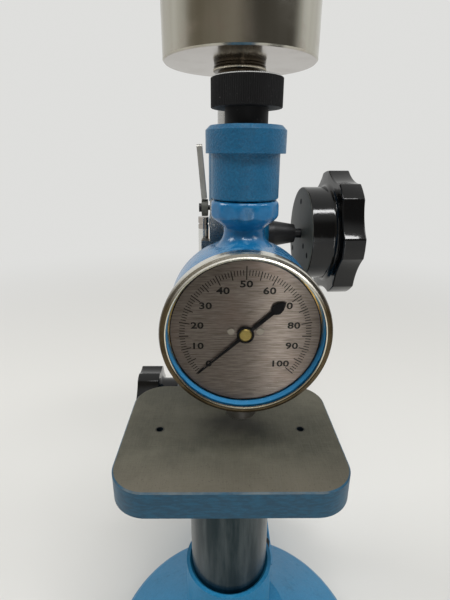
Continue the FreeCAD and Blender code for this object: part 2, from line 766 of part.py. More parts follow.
def make_lock():
    left = Rotation(Vector(0, 1, 0), -90)
    lobed_knob("lock_knob", d.lock_inner, d.lock_step, d.lock_outer, d.lock_hub_radius,
               d.lock_radius, 6.0, d.lock_radius + 1.0, d.lock_stud_radius,
               (0.0, d.lock_y, d.lock_z), left)
    stud_end = d.shaft_radius + 3.0
    node(rod("lock_stud", d.lock_stud_radius, d.lock_outer - 5.0 - stud_end,
             (-stud_end, d.lock_y, d.lock_z), left), "lock_stud")
    node(rod("lock_pad", d.lock_stud_radius - 0.5, 2.9,
             (-(d.shaft_radius + 0.08), d.lock_y, d.lock_z), left), "lock_pad")


# Weight and its collar on the reduced end of the load shaft

def make_weight():
    lip_top = d.weight_hub_low + d.weight_lip
    node(lathe("weight_hub", [
        (9.0, d.weight_hub_low), (d.weight_lip_radius - 0.5, d.weight_hub_low),
        (d.weight_lip_radius, d.weight_hub_low + 0.5), (d.weight_lip_radius, lip_top),
        (d.weight_hub_radius, lip_top), (d.weight_hub_radius, d.weight_low),
        (9.0, d.weight_low)], (0.0, d.shaft_y, 0.0)), "weight_hub")
    node(lathe("weight", [
        (9.0, d.weight_low), (d.weight_radius - 1.0, d.weight_low),
        (d.weight_radius, d.weight_low + 1.0), (d.weight_radius, d.weight_high - 1.5),
        (d.weight_radius - 1.5, d.weight_high), (0.0, d.weight_high),
        (0.0, d.weight_low + 20.0), (9.0, d.weight_low + 20.0)],
        (0.0, d.shaft_y, 0.0)), "weight")


# Arm: a casting with a split clamp on the load shaft and a barrel in front
# that holds the durometer

def make_arm():
    barrel = lathe("arm_barrel", [
        (0.0, d.barrel_low), (d.barrel_radius - 0.6, d.barrel_low),
        (d.barrel_radius, d.barrel_low + 0.6), (d.barrel_radius, d.barrel_step),
        (d.barrel_collar_radius, d.barrel_step), (d.barrel_collar_radius, d.barrel_top - 2.0),
        (d.barrel_collar_radius - 2.0, d.barrel_top), (0.0, d.barrel_top)], (0.0, 0.0, 0.0))
    beam = doc.addObject("PartDesign::Body", "arm_beam")
    side = sketch_on(beam, "arm_side", "YZ_Plane", -d.arm_half)
    outline(side, [(4.0, d.arm_low), (40.0, d.arm_low + 3.0), (62.0, d.clamp_low + 4.0),
                   (78.0, d.clamp_low + 4.0), (78.0, d.arm_high), (4.0, d.arm_high)])
    pad(beam, side, 2 * d.arm_half)
    dress(beam, "Fillet", 3.0,
          lambda e: e.BoundBox.YLength > 20 and e.BoundBox.XLength < 0.01)
    hub = rod("arm_clamp_hub", d.clamp_radius, d.arm_high - d.clamp_low,
              (0.0, d.shaft_y, d.clamp_low))
    ears = block("arm_ears", (-9.0, d.shaft_y + 10.0, d.clamp_low),
                 (9.0, d.shaft_y + d.clamp_radius + 12.0, d.arm_high))
    blank = union("arm_blank", [barrel, beam, hub, ears])
    shaft_bore = rod("arm_shaft_bore", d.shaft_radius, 60.0, (0.0, d.shaft_y, d.clamp_low - 5.0))
    slot = block("arm_slot", (-1.0, d.shaft_y, d.clamp_low - 1.0),
                 (1.0, d.shaft_y + d.clamp_radius + 13.0, d.arm_high + 1.0))
    spigot = rod("arm_spigot_bore", d.case_neck_radius, d.case_spigot_high - d.barrel_low,
                 (0.0, 0.0, d.barrel_low))
    shank = rod("arm_shank_bore", d.shank_radius, d.barrel_top - d.case_spigot_high,
                (0.0, 0.0, d.case_spigot_high))
    screw = rod("arm_screw_hole", 3.0, 20.0, (-10.0, CLAMP_EAR_Y, ear_z()), "X")
    node(remove("arm_casting", blank, [shaft_bore, slot, spigot, shank, screw]), "arm_casting")

    head = rod("arm_screw_head", 5.0, 6.0, (9.0, CLAMP_EAR_Y, ear_z()), "X")
    body = rod("arm_screw_shank", 3.0, 18.0, (-9.0, CLAMP_EAR_Y, ear_z()), "X")
    socket = rod("arm_screw_socket", 2.3, 3.0, (12.0, CLAMP_EAR_Y, ear_z()), "X")
    node(remove("arm_clamp_screw", union("arm_screw_blank", [head, body]), [socket]),
         "arm_clamp_screw")


CLAMP_EAR_Y = 110.0


def ear_z():
    return (d.clamp_low + d.arm_high) / 2


def make_knurled_screw():
    """Shank, plain neck and round head; the head's fine knurl is surface texture."""
    edge = 0.6
    node(lathe("knurled_screw", [
        (0.0, d.shank_low), (d.shank_radius, d.shank_low), (d.shank_radius, d.barrel_top),
        (d.neck_radius, d.barrel_top), (d.neck_radius, d.head_low),
        (d.head_radius - edge, d.head_low), (d.head_radius, d.head_low + edge),
        (d.head_radius, d.head_top - edge), (d.head_radius - edge, d.head_top),
        (0.0, d.head_top)], (0.0, 0.0, 0.0)), "knurled_screw")


# Durometer case: round cup whose shoulders rise to a waist and a faceted collar

def make_case():
    shell = doc.addObject("PartDesign::Body", "case_shell")
    front = sketch_on(shell, "case_outline", "XZ_Plane")
    radius = d.case_radius
    diagonal = radius / math.sqrt(2)
    peak = radius * math.sqrt(2) - d.shoulder_half
    centre = Vector(0, 0, 0)
    axis = Vector(0, 0, 1)
    corner = number(diagonal)
    left = Vector(-number(d.shoulder_half), number(peak), 0)
    right = Vector(number(d.shoulder_half), number(peak), 0)
    front.addGeometry(Part.ArcOfCircle(Part.Circle(centre, axis, number(radius)),
                                       math.radians(135), math.radians(405)), False)
    front.addGeometry(Part.LineSegment(Vector(corner, corner, 0), right), False)
    front.addGeometry(Part.LineSegment(right, left), False)
    front.addGeometry(Part.LineSegment(left, Vector(-corner, corner, 0)), False)
    front.addConstraint(Sketcher.Constraint("Coincident", 0, 2, 1, 1))
    front.addConstraint(Sketcher.Constraint("Coincident", 1, 2, 2, 1))
    front.addConstraint(Sketcher.Constraint("Coincident", 2, 2, 3, 1))
    front.addConstraint(Sketcher.Constraint("Coincident", 3, 2, 0, 1))
    pin(front, 0, 3, 0.0, 0.0)
    pin(front, 1, 1, diagonal, diagonal)
    pin(front, 1, 2, d.shoulder_half, peak)
    pin(front, 3, 1, -d.shoulder_half, peak)
    hold(front, "DistanceX", 3, 2, -diagonal)
    pad(shell, front, d.case_front + d.case_back, reverse=True)
    place(shell, (0.0, -d.case_front, d.case_z))
    depth = number(d.case_front + d.case_back)
    dress(shell, "Chamfer", 4.5,
          lambda e: e.BoundBox.YLength < 0.01 and abs(e.BoundBox.YMin - depth) < 0.01)
    dress(shell, "Chamfer", 1.2,
          lambda e: e.BoundBox.YLength < 0.01 and abs(e.BoundBox.YMin) < 0.01)

    rim = rod("case_rim", d.rim_radius, d.rim_front - d.case_front,
              (0.0, -d.rim_front, d.case_z), "Y")
    # The neck flares out in a hollow curve down to the shoulders.
    crown = d.case_z + peak
    flare = lathe("case_flare", [
        (0.0, crown - 8.0), (d.waist_radius + 7.0, crown - 8.0),
        (d.waist_radius + 4.6, crown - 2.0), (d.waist_radius + 1.9, crown + 0.8),
        (d.waist_radius + 0.4, crown + 3.4), (d.waist_radius, crown + 6.0),
        (d.waist_radius, d.case_collar_low + 1.0), (d.case_neck_radius, d.case_collar_low + 1.0),
        (d.case_neck_radius, d.case_spigot_high), (0.0, d.case_spigot_high)], (0.0, 0.0, 0.0))
    neck = doc.addObject("Part::Common", "case_neck")
    neck.Base = flare
    neck.Tool = block("case_depth", (-d.case_radius, -d.case_front, d.case_z),
                      (d.case_radius, d.case_back, d.case_spigot_high))
    collar = case_collar()
    boss = rod("case_spindle_boss", d.spindle_boss_radius, d.case_z - 30.0 - d.boss_low,
               (0.0, 0.0, d.boss_low))
    solid = union("case_solid", [shell, rim, neck, collar, boss])

    dial_bore = rod("case_dial_bore", d.dial_bore, d.rim_front - d.ledge_y,
                    (0.0, -d.rim_front, d.case_z), "Y")
    cavity = rod("case_cavity", d.movement_bore, d.ledge_y + d.case_back - d.cover_thick,
                 (0.0, -d.ledge_y, d.case_z), "Y")
    recess = rod("case_cover_recess", d.cover_radius, d.cover_thick,
                 (0.0, d.case_back - d.cover_thick, d.case_z), "Y")
    stem_bore = rod("case_stem_bore", d.stem_radius + d.running, d.case_z - d.boss_low,
                    (0.0, 0.0, d.boss_low))
    spring_bore = rod("case_spring_bore", 6.0, SPRING_TOP - d.case_z - 30.0,
                      (0.0, 0.0, d.case_z + 30.0))
    thread = rod("case_thread", d.shank_radius, d.case_spigot_high - d.shank_low,
                 (0.0, 0.0, d.shank_low))
    node(remove("durometer_case", solid,
                [dial_bore, cavity, recess, stem_bore, spring_bore, thread]), "durometer_case")


SPRING_TOP = 331.0


def case_collar():
    """Twelve-sided collar, its corners turned off at both ends."""
    prism = doc.addObject("Part::Prism", "collar_prism")
    prism.Polygon = 12
    prism.setExpression("Circumradius", formula(d.case_collar_radius + 0.5))
    prism.setExpression("Height", formula(d.case_collar_high - d.case_collar_low))
    place(prism, (0.0, 0.0, d.case_collar_low), Rotation(Vector(0, 0, 1), 15))
    turned = lathe("collar_envelope", [
        (0.0, d.case_collar_low), (d.case_collar_radius - 2.2, d.case_collar_low),
        (d.case_collar_radius + 0.2, d.case_collar_low + 2.0),
        (d.case_collar_radius + 0.2, d.case_collar_high - 1.6),
        (d.case_collar_radius - 1.4, d.case_collar_high), (0.0, d.case_collar_high)],
        (0.0, 0.0, 0.0))
    collar = doc.addObject("Part::Common", "case_collar")
    collar.Base = prism
    collar.Tool = turned
    return collar


def make_dial_parts():
    lip = d.rim_front + d.crystal_thick
    node(lathe("bezel_ring", [
        (d.bezel_lip_radius, -d.bezel_front + 0.6), (d.bezel_lip_radius + 0.8, -d.bezel_front),
        (d.bezel_radius - 1.8, -d.bezel_front), (d.bezel_radius - 0.5, -d.bezel_front + 0.6),
        (d.bezel_radius, -d.bezel_front + 1.8), (d.bezel_radius, -d.case_front - 0.6),
        (d.bezel_radius - 0.6, -d.case_front), (d.rim_radius, -d.case_front),
        (d.rim_radius, -lip), (d.bezel_lip_radius, -lip)],
        (0.0, 0.0, d.case_z), "Y"), "bezel_ring")
    node(rod("crystal", d.rim_radius, d.crystal_thick, (0.0, -lip, d.case_z), "Y"), "crystal")

    holes = [rod("dial_screw_hole", 1.0, d.dial_thick, (x, -d.dial_front, d.case_z + DIAL_SCREW_Z),
                 "Y") for x in DIAL_SCREW_X]
    centre = rod("dial_centre_hole", 2.0, d.dial_thick, (0.0, -d.dial_front, d.case_z), "Y")
    plate = rod("dial_blank", d.dial_radius, d.dial_thick, (0.0, -d.dial_front, d.case_z), "Y")
    node(remove("dial_plate", plate, holes + [centre]), "dial_plate")
    screws = []
    for x in DIAL_SCREW_X:
        z = d.case_z + DIAL_SCREW_Z
        head = rod("dial_screw_head", 1.7, 0.6, (x, -d.dial_front - 0.6, z), "Y")
        body = rod("dial_screw_body", 1.0, 4.0, (x, -d.dial_front, z), "Y")
        screws.append(union("dial_screw", [head, body]))
    node(group("dial_screws", screws), "dial_screws")


DIAL_SCREW_X = (-6.9, 6.9)
DIAL_SCREW_Z = 1.4


def make_back_cover():
    inner = d.case_back - d.cover_thick
    spots = [(27.5 * math.cos(math.radians(a)), 27.5 * math.sin(math.radians(a)))
             for a in (45, 135, 225, 315)]
    blank = lathe("cover_blank", [
        (0.0, inner), (d.cover_radius, inner), (d.cover_radius, d.case_back - 0.8),
        (d.cover_radius - 0.8, d.case_back), (0.0, d.case_back)],
        (0.0, 0.0, d.case_z), "Y")
    holes = [rod("cover_hole", 1.6, d.cover_thick, (x, inner, d.case_z + z), "Y")
             for x, z in spots]
    node(remove("back_cover", blank, holes), "back_cover")
    screws = []
    for x, z in spots:
        head = lathe("cover_screw_head", [
            (0.0, 0.0), (3.0, 0.0), (2.2, 1.6), (0.0, 1.6)],
            (x, d.case_back, d.case_z + z), "Y")
        body = rod("cover_screw_body", 1.6, d.cover_thick + 0.5,
                   (x, inner - 0.5, d.case_z + z), "Y")
        slot = block("cover_screw_slot", (x - 3.2, d.case_back + 1.0, d.case_z + z - 0.4),
                     (x + 3.2, d.case_back + 3.0, d.case_z + z + 0.4))
        screws.append(remove("cover_screw", union("cover_screw_blank", [head, body]), [slot]))
    node(group("back_cover_screws", screws), "back_cover_screws")


# Movement: the stem's rack turns the arbor pinion, whose wheel turns the
# centre pinion on the pointer's staff

def arbor_x():
    rack_pitch = d.stem_rack - ADDENDUM * d.gear_module
    return -(rack_pitch + d.gear_module * d.small_teeth / 2)


def arbor_z():
    reach = d.gear_module * (d.small_teeth + d.wheel_teeth) / 2
    x = arbor_x()
    return d.case_z + root(reach * reach - x * x)


def make_movement_plates():
    pivot = 1.0
    front_y = -(d.ledge_y + d.plate_thick)
    plate = rod("front_plate_blank", d.dial_bore, d.plate_thick, (0.0, front_y, d.case_z), "Y")
    posts = [rod("front_plate_post", 2.4, d.dial_front - d.dial_thick - d.ledge_y - d.plate_thick,
                 (x, -(d.dial_front - d.dial_thick), d.case_z + DIAL_SCREW_Z), "Y")
             for x in DIAL_SCREW_X]
    screw_holes = [rod("front_plate_thread", 1.0, 8.0,
                       (x, -(d.dial_front), d.case_z + DIAL_SCREW_Z), "Y") for x in DIAL_SCREW_X]
    staff_hole = rod("front_plate_staff_hole", pivot + 1.0, 10.0, (0.0, front_y - 4.0, d.case_z),
                     "Y")
    arbor_hole = rod("front_plate_arbor_hole", pivot + d.running, 10.0,
                     (arbor_x(), front_y - 4.0, arbor_z()), "Y")
    blank = union("front_plate_solid", [plate] + posts)
    node(remove("movement_front_plate", blank, screw_holes + [staff_hole, arbor_hole]),
         "movement_front_plate")

    rear_front = -(d.rear_plate_y + d.plate_thick)
    rear = rod("rear_plate_blank", 22.0, d.plate_thick, (0.0, rear_front, d.case_z), "Y")
    pillars = []
    for angle in (20, 200, 290):
        x = 18.5 * math.cos(math.radians(angle))
        z = 18.5 * math.sin(math.radians(angle))
        pillars.append(rod("movement_pillar", 2.0, d.ledge_y - d.rear_plate_y - d.plate_thick,
                           (x, -d.ledge_y, d.case_z + z), "Y"))
    holes = [rod("rear_plate_arbor_hole", pivot + d.running, 10.0,
                 (arbor_x(), rear_front - 4.0, arbor_z()), "Y"),
             rod("rear_plate_staff_hole", pivot + d.running, 10.0,
                 (0.0, rear_front - 4.0, d.case_z), "Y")]
    node(remove("movement_rear_plate", union("rear_plate_solid", [rear] + pillars), holes),
         "movement_rear_plate")


def turned_gear(name, module, teeth, width, y, x, z, phase):
    """Gear about an axis along Y, its first tooth turned to the given angle."""
    gear = doc.addObject("Part::Feature", name)
    gear.Shape = gear_solid(number(module), number(teeth), number(width))
    turn = TURNS["Y"].multiply(Rotation(Vector(0, 0, 1), phase))
    gear.Placement = Placement(Vector(number(x), number(y), number(z)), turn)
    return gear


def make_gears():
    x = number(arbor_x())
    z = number(arbor_z())
    wheel_y = -13.0
    small = number(d.small_teeth)
    large = number(d.wheel_teeth)
    # A tooth of the arbor pinion points at the rack, along +X.
    pinion = turned_gear("arbor_pinion_teeth", d.gear_module, small, 5.0, -2.5, x, z, 0.0)
    axle = rod("arbor_axle", 1.0, d.ledge_y + d.plate_thick + 3.5,
               (arbor_x(), -(d.ledge_y + d.plate_thick), arbor_z()), "Y")
    node(union("movement_arbor", [pinion, axle]), "movement_arbor")

    # Towards the centre pinion the wheel shows a tooth and the pinion a gap.
    to_centre = math.degrees(math.atan2(-(number(d.case_z) - z), 0.0 - x))
    wheel = turned_gear("arbor_wheel_teeth", d.gear_module, large, 2.0, wheel_y, x, z, to_centre)
    hole = rod("arbor_wheel_hole", 1.0, 4.0, (arbor_x(), wheel_y - 1.0, arbor_z()), "Y")
    windows = []
    for i in range(5):
        angle = 2 * math.pi * i / 5
        windows.append(rod("arbor_wheel_window", 2.1, 4.0,
                           (arbor_x() + 5.6 * math.cos(angle), wheel_y - 1.0,
                            arbor_z() + 5.6 * math.sin(angle)), "Y"))
    node(remove("arbor_wheel", wheel, [hole] + windows), "arbor_wheel")

    from_centre = to_centre + 180.0 + 180.0 / small
    centre = turned_gear("centre_pinion_teeth", d.gear_module, small, 4.0, wheel_y - 1.0,
                         0.0, number(d.case_z), from_centre)
    staff = rod("pointer_staff_rod", 1.0, d.dial_front + 2.2 - d.rear_plate_y,
                (0.0, -(d.dial_front + 2.2), d.case_z), "Y")
    node(union("pointer_staff", [centre, staff]), "pointer_staff")


# Pointer: black hand with a spade tail on a brass bush

def make_pointer():
    """The hand's outline runs along its own Z, its thin tip upwards."""
    body = doc.addObject("PartDesign::Body", "pointer_blank")
    plan = sketch_on(body, "pointer_plan", "XZ_Plane")
    right = [(0.3, 30.4), (0.75, 4.0), (1.0, -16.6), (1.8, -17.4), (2.75, -19.0),
             (2.3, -21.4), (1.0, -23.6)]
    left = [(-x, z) for x, z in reversed(right)]
    outline(plan, right + [(0.0, -24.8)] + left + [(0.0, 31.3)])
    pad(body, plan, 0.4)
    turned = Rotation(Vector(0, 1, 0), 90.0 - POINTER_REST)
    place(body, (0.0, -(d.dial_front + 1.2), d.case_z), turned)
    boss = rod("pointer_boss", 4.15, 0.9, (0.0, -(d.dial_front + 1.8), d.case_z), "Y")
    hole = rod("pointer_hole", 3.2, 6.0, (0.0, -(d.dial_front + 5.0), d.case_z), "Y")
    node(remove("pointer", union("pointer_solid", [body, boss]), [hole]), "pointer")
    front = d.dial_front + 2.2
    back = d.dial_front + 0.5
    node(lathe("pointer_bush", [
        (1.0, -front), (2.7, -front), (3.2, -front + 0.5), (3.2, -back), (1.0, -back)],
        (0.0, 0.0, d.case_z), "Y"), "pointer_bush")


POINTER_REST = 222.0


# Indenter: the sprung stem runs down through the case to the presser foot

def make_indenter():
    tip_low = d.foot_low - d.indenter_reach
    stem_low = d.foot_low + 6.0
    module = number(d.gear_module)
    stem = lathe("indenter_stem", [
        (0.0, stem_low), (d.stem_radius, stem_low), (d.stem_radius, d.stem_high),
        (0.0, d.stem_high)], (0.0, 0.0, 0.0))
    doc.recompute()
    pitch_line = number(d.stem_rack) - ADDENDUM * module
    slope = math.tan(PRESSURE)
    quarter = math.pi * module / 4 * (2 - TOOTH_SHARE)
    wide = quarter + ADDENDUM * module * slope
    narrow = quarter - DEDENDUM * module * slope
    flat = sketch_on(stem, "stem_flat_plan", "XZ_Plane", -5.0)
    middle = arbor_z()
    outline(flat, [(-5.0, middle - 5.5), (-d.stem_rack, middle - 5.5),
                   (-d.stem_rack, middle + 3.5), (-5.0, middle + 3.5)])
    pocket(stem, flat, 10.0, reverse=True)
    gap = sketch_on(stem, "stem_gap_plan", "XZ_Plane", -5.0)
    first = middle - 3 * math.pi * module
    tip = -pitch_line - ADDENDUM * module
    deep = -pitch_line + DEDENDUM * module
    outline(gap, [(tip - 0.1, first - wide), (deep, first - narrow),
                  (deep, first + narrow), (tip - 0.1, first + wide)])
    cut = pocket(stem, gap, 10.0, reverse=True)
    doc.recompute()
    row = stem.newObject("PartDesign::LinearPattern", "stem_teeth")
    row.Originals = [cut]
    row.Direction = (gap, ["V_Axis"])
    row.Length = 5 * math.pi * module
    row.Occurrences = 6
    stem.Tip = row
    node(stem, "indenter_stem")

    node(lathe("indenter_point", [
        (0.0, tip_low), (0.4, tip_low), (0.64, tip_low + 0.76), (0.64, d.foot_low + 1.5),
        (1.2, d.foot_low + 2.4), (1.2, stem_low), (0.0, stem_low)], (0.0, 0.0, 0.0)),
        "indenter_point")
    node(lathe("spring_seat", [
        (d.stem_radius, 0.0), (5.0, 0.0), (5.0, 2.0), (d.stem_radius, 2.0)],
        (0.0, 0.0, d.stem_high - 2.0)), "spring_seat")

    node(lathe("presser_foot", [
        (1.5, d.foot_low), (d.presser_radius - 0.6, d.foot_low),
        (d.presser_radius, d.foot_low + 0.6), (d.presser_radius, d.boss_low),
        (d.stem_radius + d.running, d.boss_low), (d.stem_radius + d.running, d.foot_low + 3.2),
        (1.5, d.foot_low + 3.0)], (0.0, 0.0, 0.0)), "presser_foot")


def make_spring():
    """Compression spring between the stem's seat and the top of the case."""
    body = doc.addObject("PartDesign::Body", "calibrated_spring")
    section = sketch_on(body, "spring_wire", "XZ_Plane")
    corners = []
    for i in range(SPRING_SIDES):
        angle = 2 * math.pi * i / SPRING_SIDES
        corners.append((d.spring_radius + d.spring_wire * math.cos(angle),
                        d.spring_wire * math.sin(angle)))
    outline(section, corners)
    coil = body.newObject("PartDesign::AdditiveHelix", "spring_coil")
    coil.Profile = section
    coil.ReferenceAxis = (section, ["V_Axis"])
    coil.Mode = 0
    low = d.stem_high + d.spring_wire
    rise = SPRING_TOP - d.spring_wire - low
    coil.setExpression("Pitch", formula(rise / SPRING_TURNS))
    coil.setExpression("Height", formula(rise))
    place(body, (0.0, 0.0, low))
    node(body, "calibrated_spring")


SPRING_SIDES = 4
SPRING_TURNS = 4


# Bleed line of the damping chamber: a polished tube up to a rotary valve
# whose lever stands beside the arm

def make_bleed():
    x = -d.tube_x
    y = d.tube_y
    node(rod("bleed_tube", d.tube_radius, d.gland_low - d.tube_low, (x, y, d.tube_low)),
         "bleed_tube")
    node(lathe("valve_gland", [
        (0.0, d.gland_low), (3.3, d.gland_low), (3.3, d.gland_low + 2.6),
        (2.8, d.gland_low + 2.6), (2.8, d.gland_low + 3.6), (3.3, d.gland_low + 3.6),
        (3.3, d.gland_high - 0.4), (0.0, d.gland_high - 0.4)], (x, y, 0.0)), "valve_gland")
    node(block("tube_fitting", (x - 4.5, d.upright_front - 9.0, d.chamber_low - 4.0),
               (x + 14.0, d.upright_front, d.tube_low)), "tube_fitting")

    valve = block("valve_blank", (x + 4.6, d.upright_front - 9.0, d.gland_low - 12.0),
                  (-6.0, d.upright_front, d.gland_high + 1.0))
    shelf = block("valve_shelf", (x - 1.0, d.upright_front - 7.5, d.gland_low - 12.0),
                  (x + 5.0, d.upright_front, d.gland_low - 6.0))
    pass_tube = rod("valve_tube_hole", d.tube_radius, 20.0, (x, y, d.gland_low - 14.0))
    head = block("valve_head", (x + 4.6, d.upright_front - 9.0, d.gland_high),
                 (x + 9.0, d.upright_front - 1.0, d.pivot_z + 6.0))
    spindle_hole = rod("valve_spindle_hole", 1.6, 8.0, (x + 3.0, y, d.pivot_z), "X")
    node(remove("valve_block", union("valve_solid", [valve, shelf, head]),
                [pass_tube, spindle_hole]), "valve_block")
    node(lathe("stop_pin", [
        (0.0, 0.0), (1.3, 0.0), (1.3, 7.4), (0.7, 8.6), (0.0, 9.0)],
        (x + 6.8, y, d.pivot_z + 6.0)), "stop_pin")


def make_lever():
    x = -d.tube_x
    y = d.tube_y
    axis_z = d.pivot_z
    hub_left = x - 0.9
    hub_disc = rod("lever_hub_disc", 5.2, 3.9, (hub_left, y, axis_z), "X")
    bore = rod("lever_hub_bore", 1.55, 6.0, (hub_left - 1.0, y, axis_z), "X")
    node(remove("lever_hub", hub_disc, [bore]), "lever_hub")
    node(union("lever_pivot_screw", [
        rod("lever_screw_head", 2.65, 1.7, (hub_left - 1.7, y, axis_z), "X"),
        rod("lever_screw_body", 1.5, 7.0, (hub_left, y, axis_z), "X")]), "lever_pivot_screw")

    strip = doc.addObject("PartDesign::Body", "lever_strip")
    plan = sketch_on(strip, "lever_plan", "YZ_Plane")
    half = d.lever_width / 2
    outline(plan, [(-half, 5.6), (half, 5.6), (half * 0.8, d.lever_length),
                   (-half * 0.8, d.lever_length)])
    pad(strip, plan, d.lever_thick)
    dress(strip, "Fillet", 1.5, lambda e: e.BoundBox.XLength > 1.0 and e.BoundBox.YLength < 0.01
          and e.BoundBox.ZMax > number(d.lever_length) - 1.0)
    place(strip, (hub_left + 0.5, y, axis_z), Rotation(Vector(0, 1, 0), -LEVER_LEAN))
    node(strip, "release_lever")


LEVER_LEAN = 4.8


make_base()
make_feet()
make_clamp_screw()
make_table()
make_upright()
make_bushes()
make_shaft()
make_pinion()
make_lift_knob()
make_lock()
make_weight()
make_arm()
make_knurled_screw()
make_case()
make_dial_parts()
make_back_cover()
make_movement_plates()
make_gears()
make_pointer()
make_indenter()
make_spring()
make_bleed()
make_lever()
doc.recompute()

failed = [o.Label for o in doc.Objects if "Invalid" in o.State or "Error" in o.State]
for piece in nodes:
    if piece.Shape.isNull() or not piece.Shape.isValid() or not piece.Shape.Solids:
        failed.append(piece.Label)
if failed:
    raise RuntimeError("failed objects: " + ", ".join(failed))

os.makedirs("parts", exist_ok=True)
for piece in nodes:
    piece.Shape.exportStep("parts/%s.step" % piece.Label)
print(len(nodes), "nodes")
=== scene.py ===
import math

import bmesh
import bpy
import numpy as np
from mathutils import Matrix, Vector


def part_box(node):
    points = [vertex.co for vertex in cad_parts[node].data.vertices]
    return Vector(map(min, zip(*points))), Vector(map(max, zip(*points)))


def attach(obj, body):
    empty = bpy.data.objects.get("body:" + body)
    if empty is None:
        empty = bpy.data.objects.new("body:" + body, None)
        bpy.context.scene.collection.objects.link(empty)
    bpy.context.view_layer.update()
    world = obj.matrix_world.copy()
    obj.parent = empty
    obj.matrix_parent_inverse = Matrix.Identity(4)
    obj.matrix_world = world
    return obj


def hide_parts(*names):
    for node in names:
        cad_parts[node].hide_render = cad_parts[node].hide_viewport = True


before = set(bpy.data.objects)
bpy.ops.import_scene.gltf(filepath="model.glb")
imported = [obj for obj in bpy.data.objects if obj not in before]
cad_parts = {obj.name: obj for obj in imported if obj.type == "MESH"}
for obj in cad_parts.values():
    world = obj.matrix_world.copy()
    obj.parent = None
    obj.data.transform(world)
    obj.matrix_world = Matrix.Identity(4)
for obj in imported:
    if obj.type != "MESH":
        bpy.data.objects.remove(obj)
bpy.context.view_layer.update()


# Camera
# It stands where the photograph was taken: close in front, a little left of
# the spindle, looking down on the table.

lens_turn = Matrix.Rotation(math.radians(-0.61), 3, "Z")
lens_tilt = Matrix.Rotation(math.radians(90.0 - 19.575), 3, "X")
lens_roll = Matrix.Rotation(math.radians(0.282), 3, "Z")
camera = bpy.data.objects.new("camera", bpy.data.cameras.new("camera"))
camera.data.lens = 24.324
camera.data.sensor_width = 36.0
camera.data.clip_start = 0.01
camera.location = (-0.01168, -0.20494, 0.36783)
camera.rotation_euler = (lens_turn @ lens_tilt @ lens_roll).to_euler()
bpy.context.scene.collection.objects.link(camera)
bpy.context.scene.camera = camera
bpy.context.scene.view_settings.view_transform = "Standard"


# Bench, room and lamps
# A plain pale bench that fades into a pale room. Metal sees the pale wall
# behind the tester and a dimmer, warmer room in front of it.

class Flow:
    """A socket of a finish. + - * / and abs add Math nodes, and add() any other node."""

    def __init__(self, tree, socket=None):
        self.tree = tree
        self.socket = socket

    def add(self, kind, settings=None, inputs=None, out=0):
        """Add a node: settings first, then its sockets, each a value or a Flow."""
        made = self.tree.nodes.new("ShaderNode" + kind)
        for name, value in (settings or {}).items():
            setattr(made, name, value)
        for name, value in (inputs or {}).items():
            if isinstance(value, Flow):
                self.tree.links.new(value.socket, made.inputs[name])
            else:
                made.inputs[name].default_value = value
        return Flow(self.tree, made.outputs[out] if made.outputs else None)

    def maths(self, operation, *values):
        """Add a Math node: its operation, then what it works on."""
        return self.add("Math", {"operation": operation}, dict(enumerate(values)))

    def __add__(self, other):
        return self.maths("ADD", self, other)

    def __sub__(self, other):
        return self.maths("SUBTRACT", self, other)

    def __rsub__(self, other):
        return self.maths("SUBTRACT", other, self)

    def __mul__(self, other):
        return self.maths("MULTIPLY", self, other)

    def __truediv__(self, other):
        return self.maths("DIVIDE", self, other)

    def __abs__(self):
        return self.maths("ABSOLUTE", self)

    __radd__ = __add__
    __rmul__ = __mul__


def rise(value, low, high):
    """0 up to low, 1 from high, and a smooth step between them; low may be the larger."""
    return value.add("MapRange", {"interpolation_type": "SMOOTHSTEP"},
                     {"Value": value, "From Min": low, "From Max": high})


def blend(factor, first, second):
    """Colour that goes from first to second as the factor goes from 0 to 1."""
    return factor.add("Mix", {"data_type": "RGBA"}, {0: factor, 6: first, 7: second}, 2)


def parts_of(place):
    """The x, y and z of a vector socket."""
    split = place.add("SeparateXYZ", None, {0: place})
    return [Flow(place.tree, part) for part in split.socket.node.outputs]


def length_of(a, b):
    """Distance from two lengths at right angles."""
    return a.maths("SQRT", a * a + b * b)


world = bpy.data.worlds.new("room")
bpy.context.scene.world = world
world.use_nodes = True
world.node_tree.nodes.clear()
sky = Flow(world.node_tree)
look_x, look_y, look_z = parts_of(sky.add("TexCoord", out="Generated"))
front = blend(rise(look_x, -0.25, 0.35), (0.27, 0.245, 0.205, 1), (0.085, 0.078, 0.068, 1))
behind = rise(look_y, -0.30, 0.30)
room_light = blend(behind, front, (0.62, 0.62, 0.60, 1))
room_light = blend(rise(look_z, 0.50, 0.80), room_light, (0.72, 0.72, 0.70, 1))
room = sky.add("Background", None, {"Color": room_light, "Strength": 0.85})
wall_tone = (0.735, 0.735, 0.72, 1)
wall = sky.add("Background", None, {"Color": wall_tone, "Strength": 1.0})
seen = sky.maths("MAXIMUM", sky.add("LightPath", out="Is Camera Ray"),
                 sky.add("LightPath", out="Is Transmission Ray"))
seen = sky.maths("MAXIMUM", seen, sky.add("LightPath", out="Is Glossy Ray") * behind)
both = sky.add("MixShader", None, {0: seen, 1: room, 2: wall})
sky.add("OutputWorld", None, {"Surface": both})

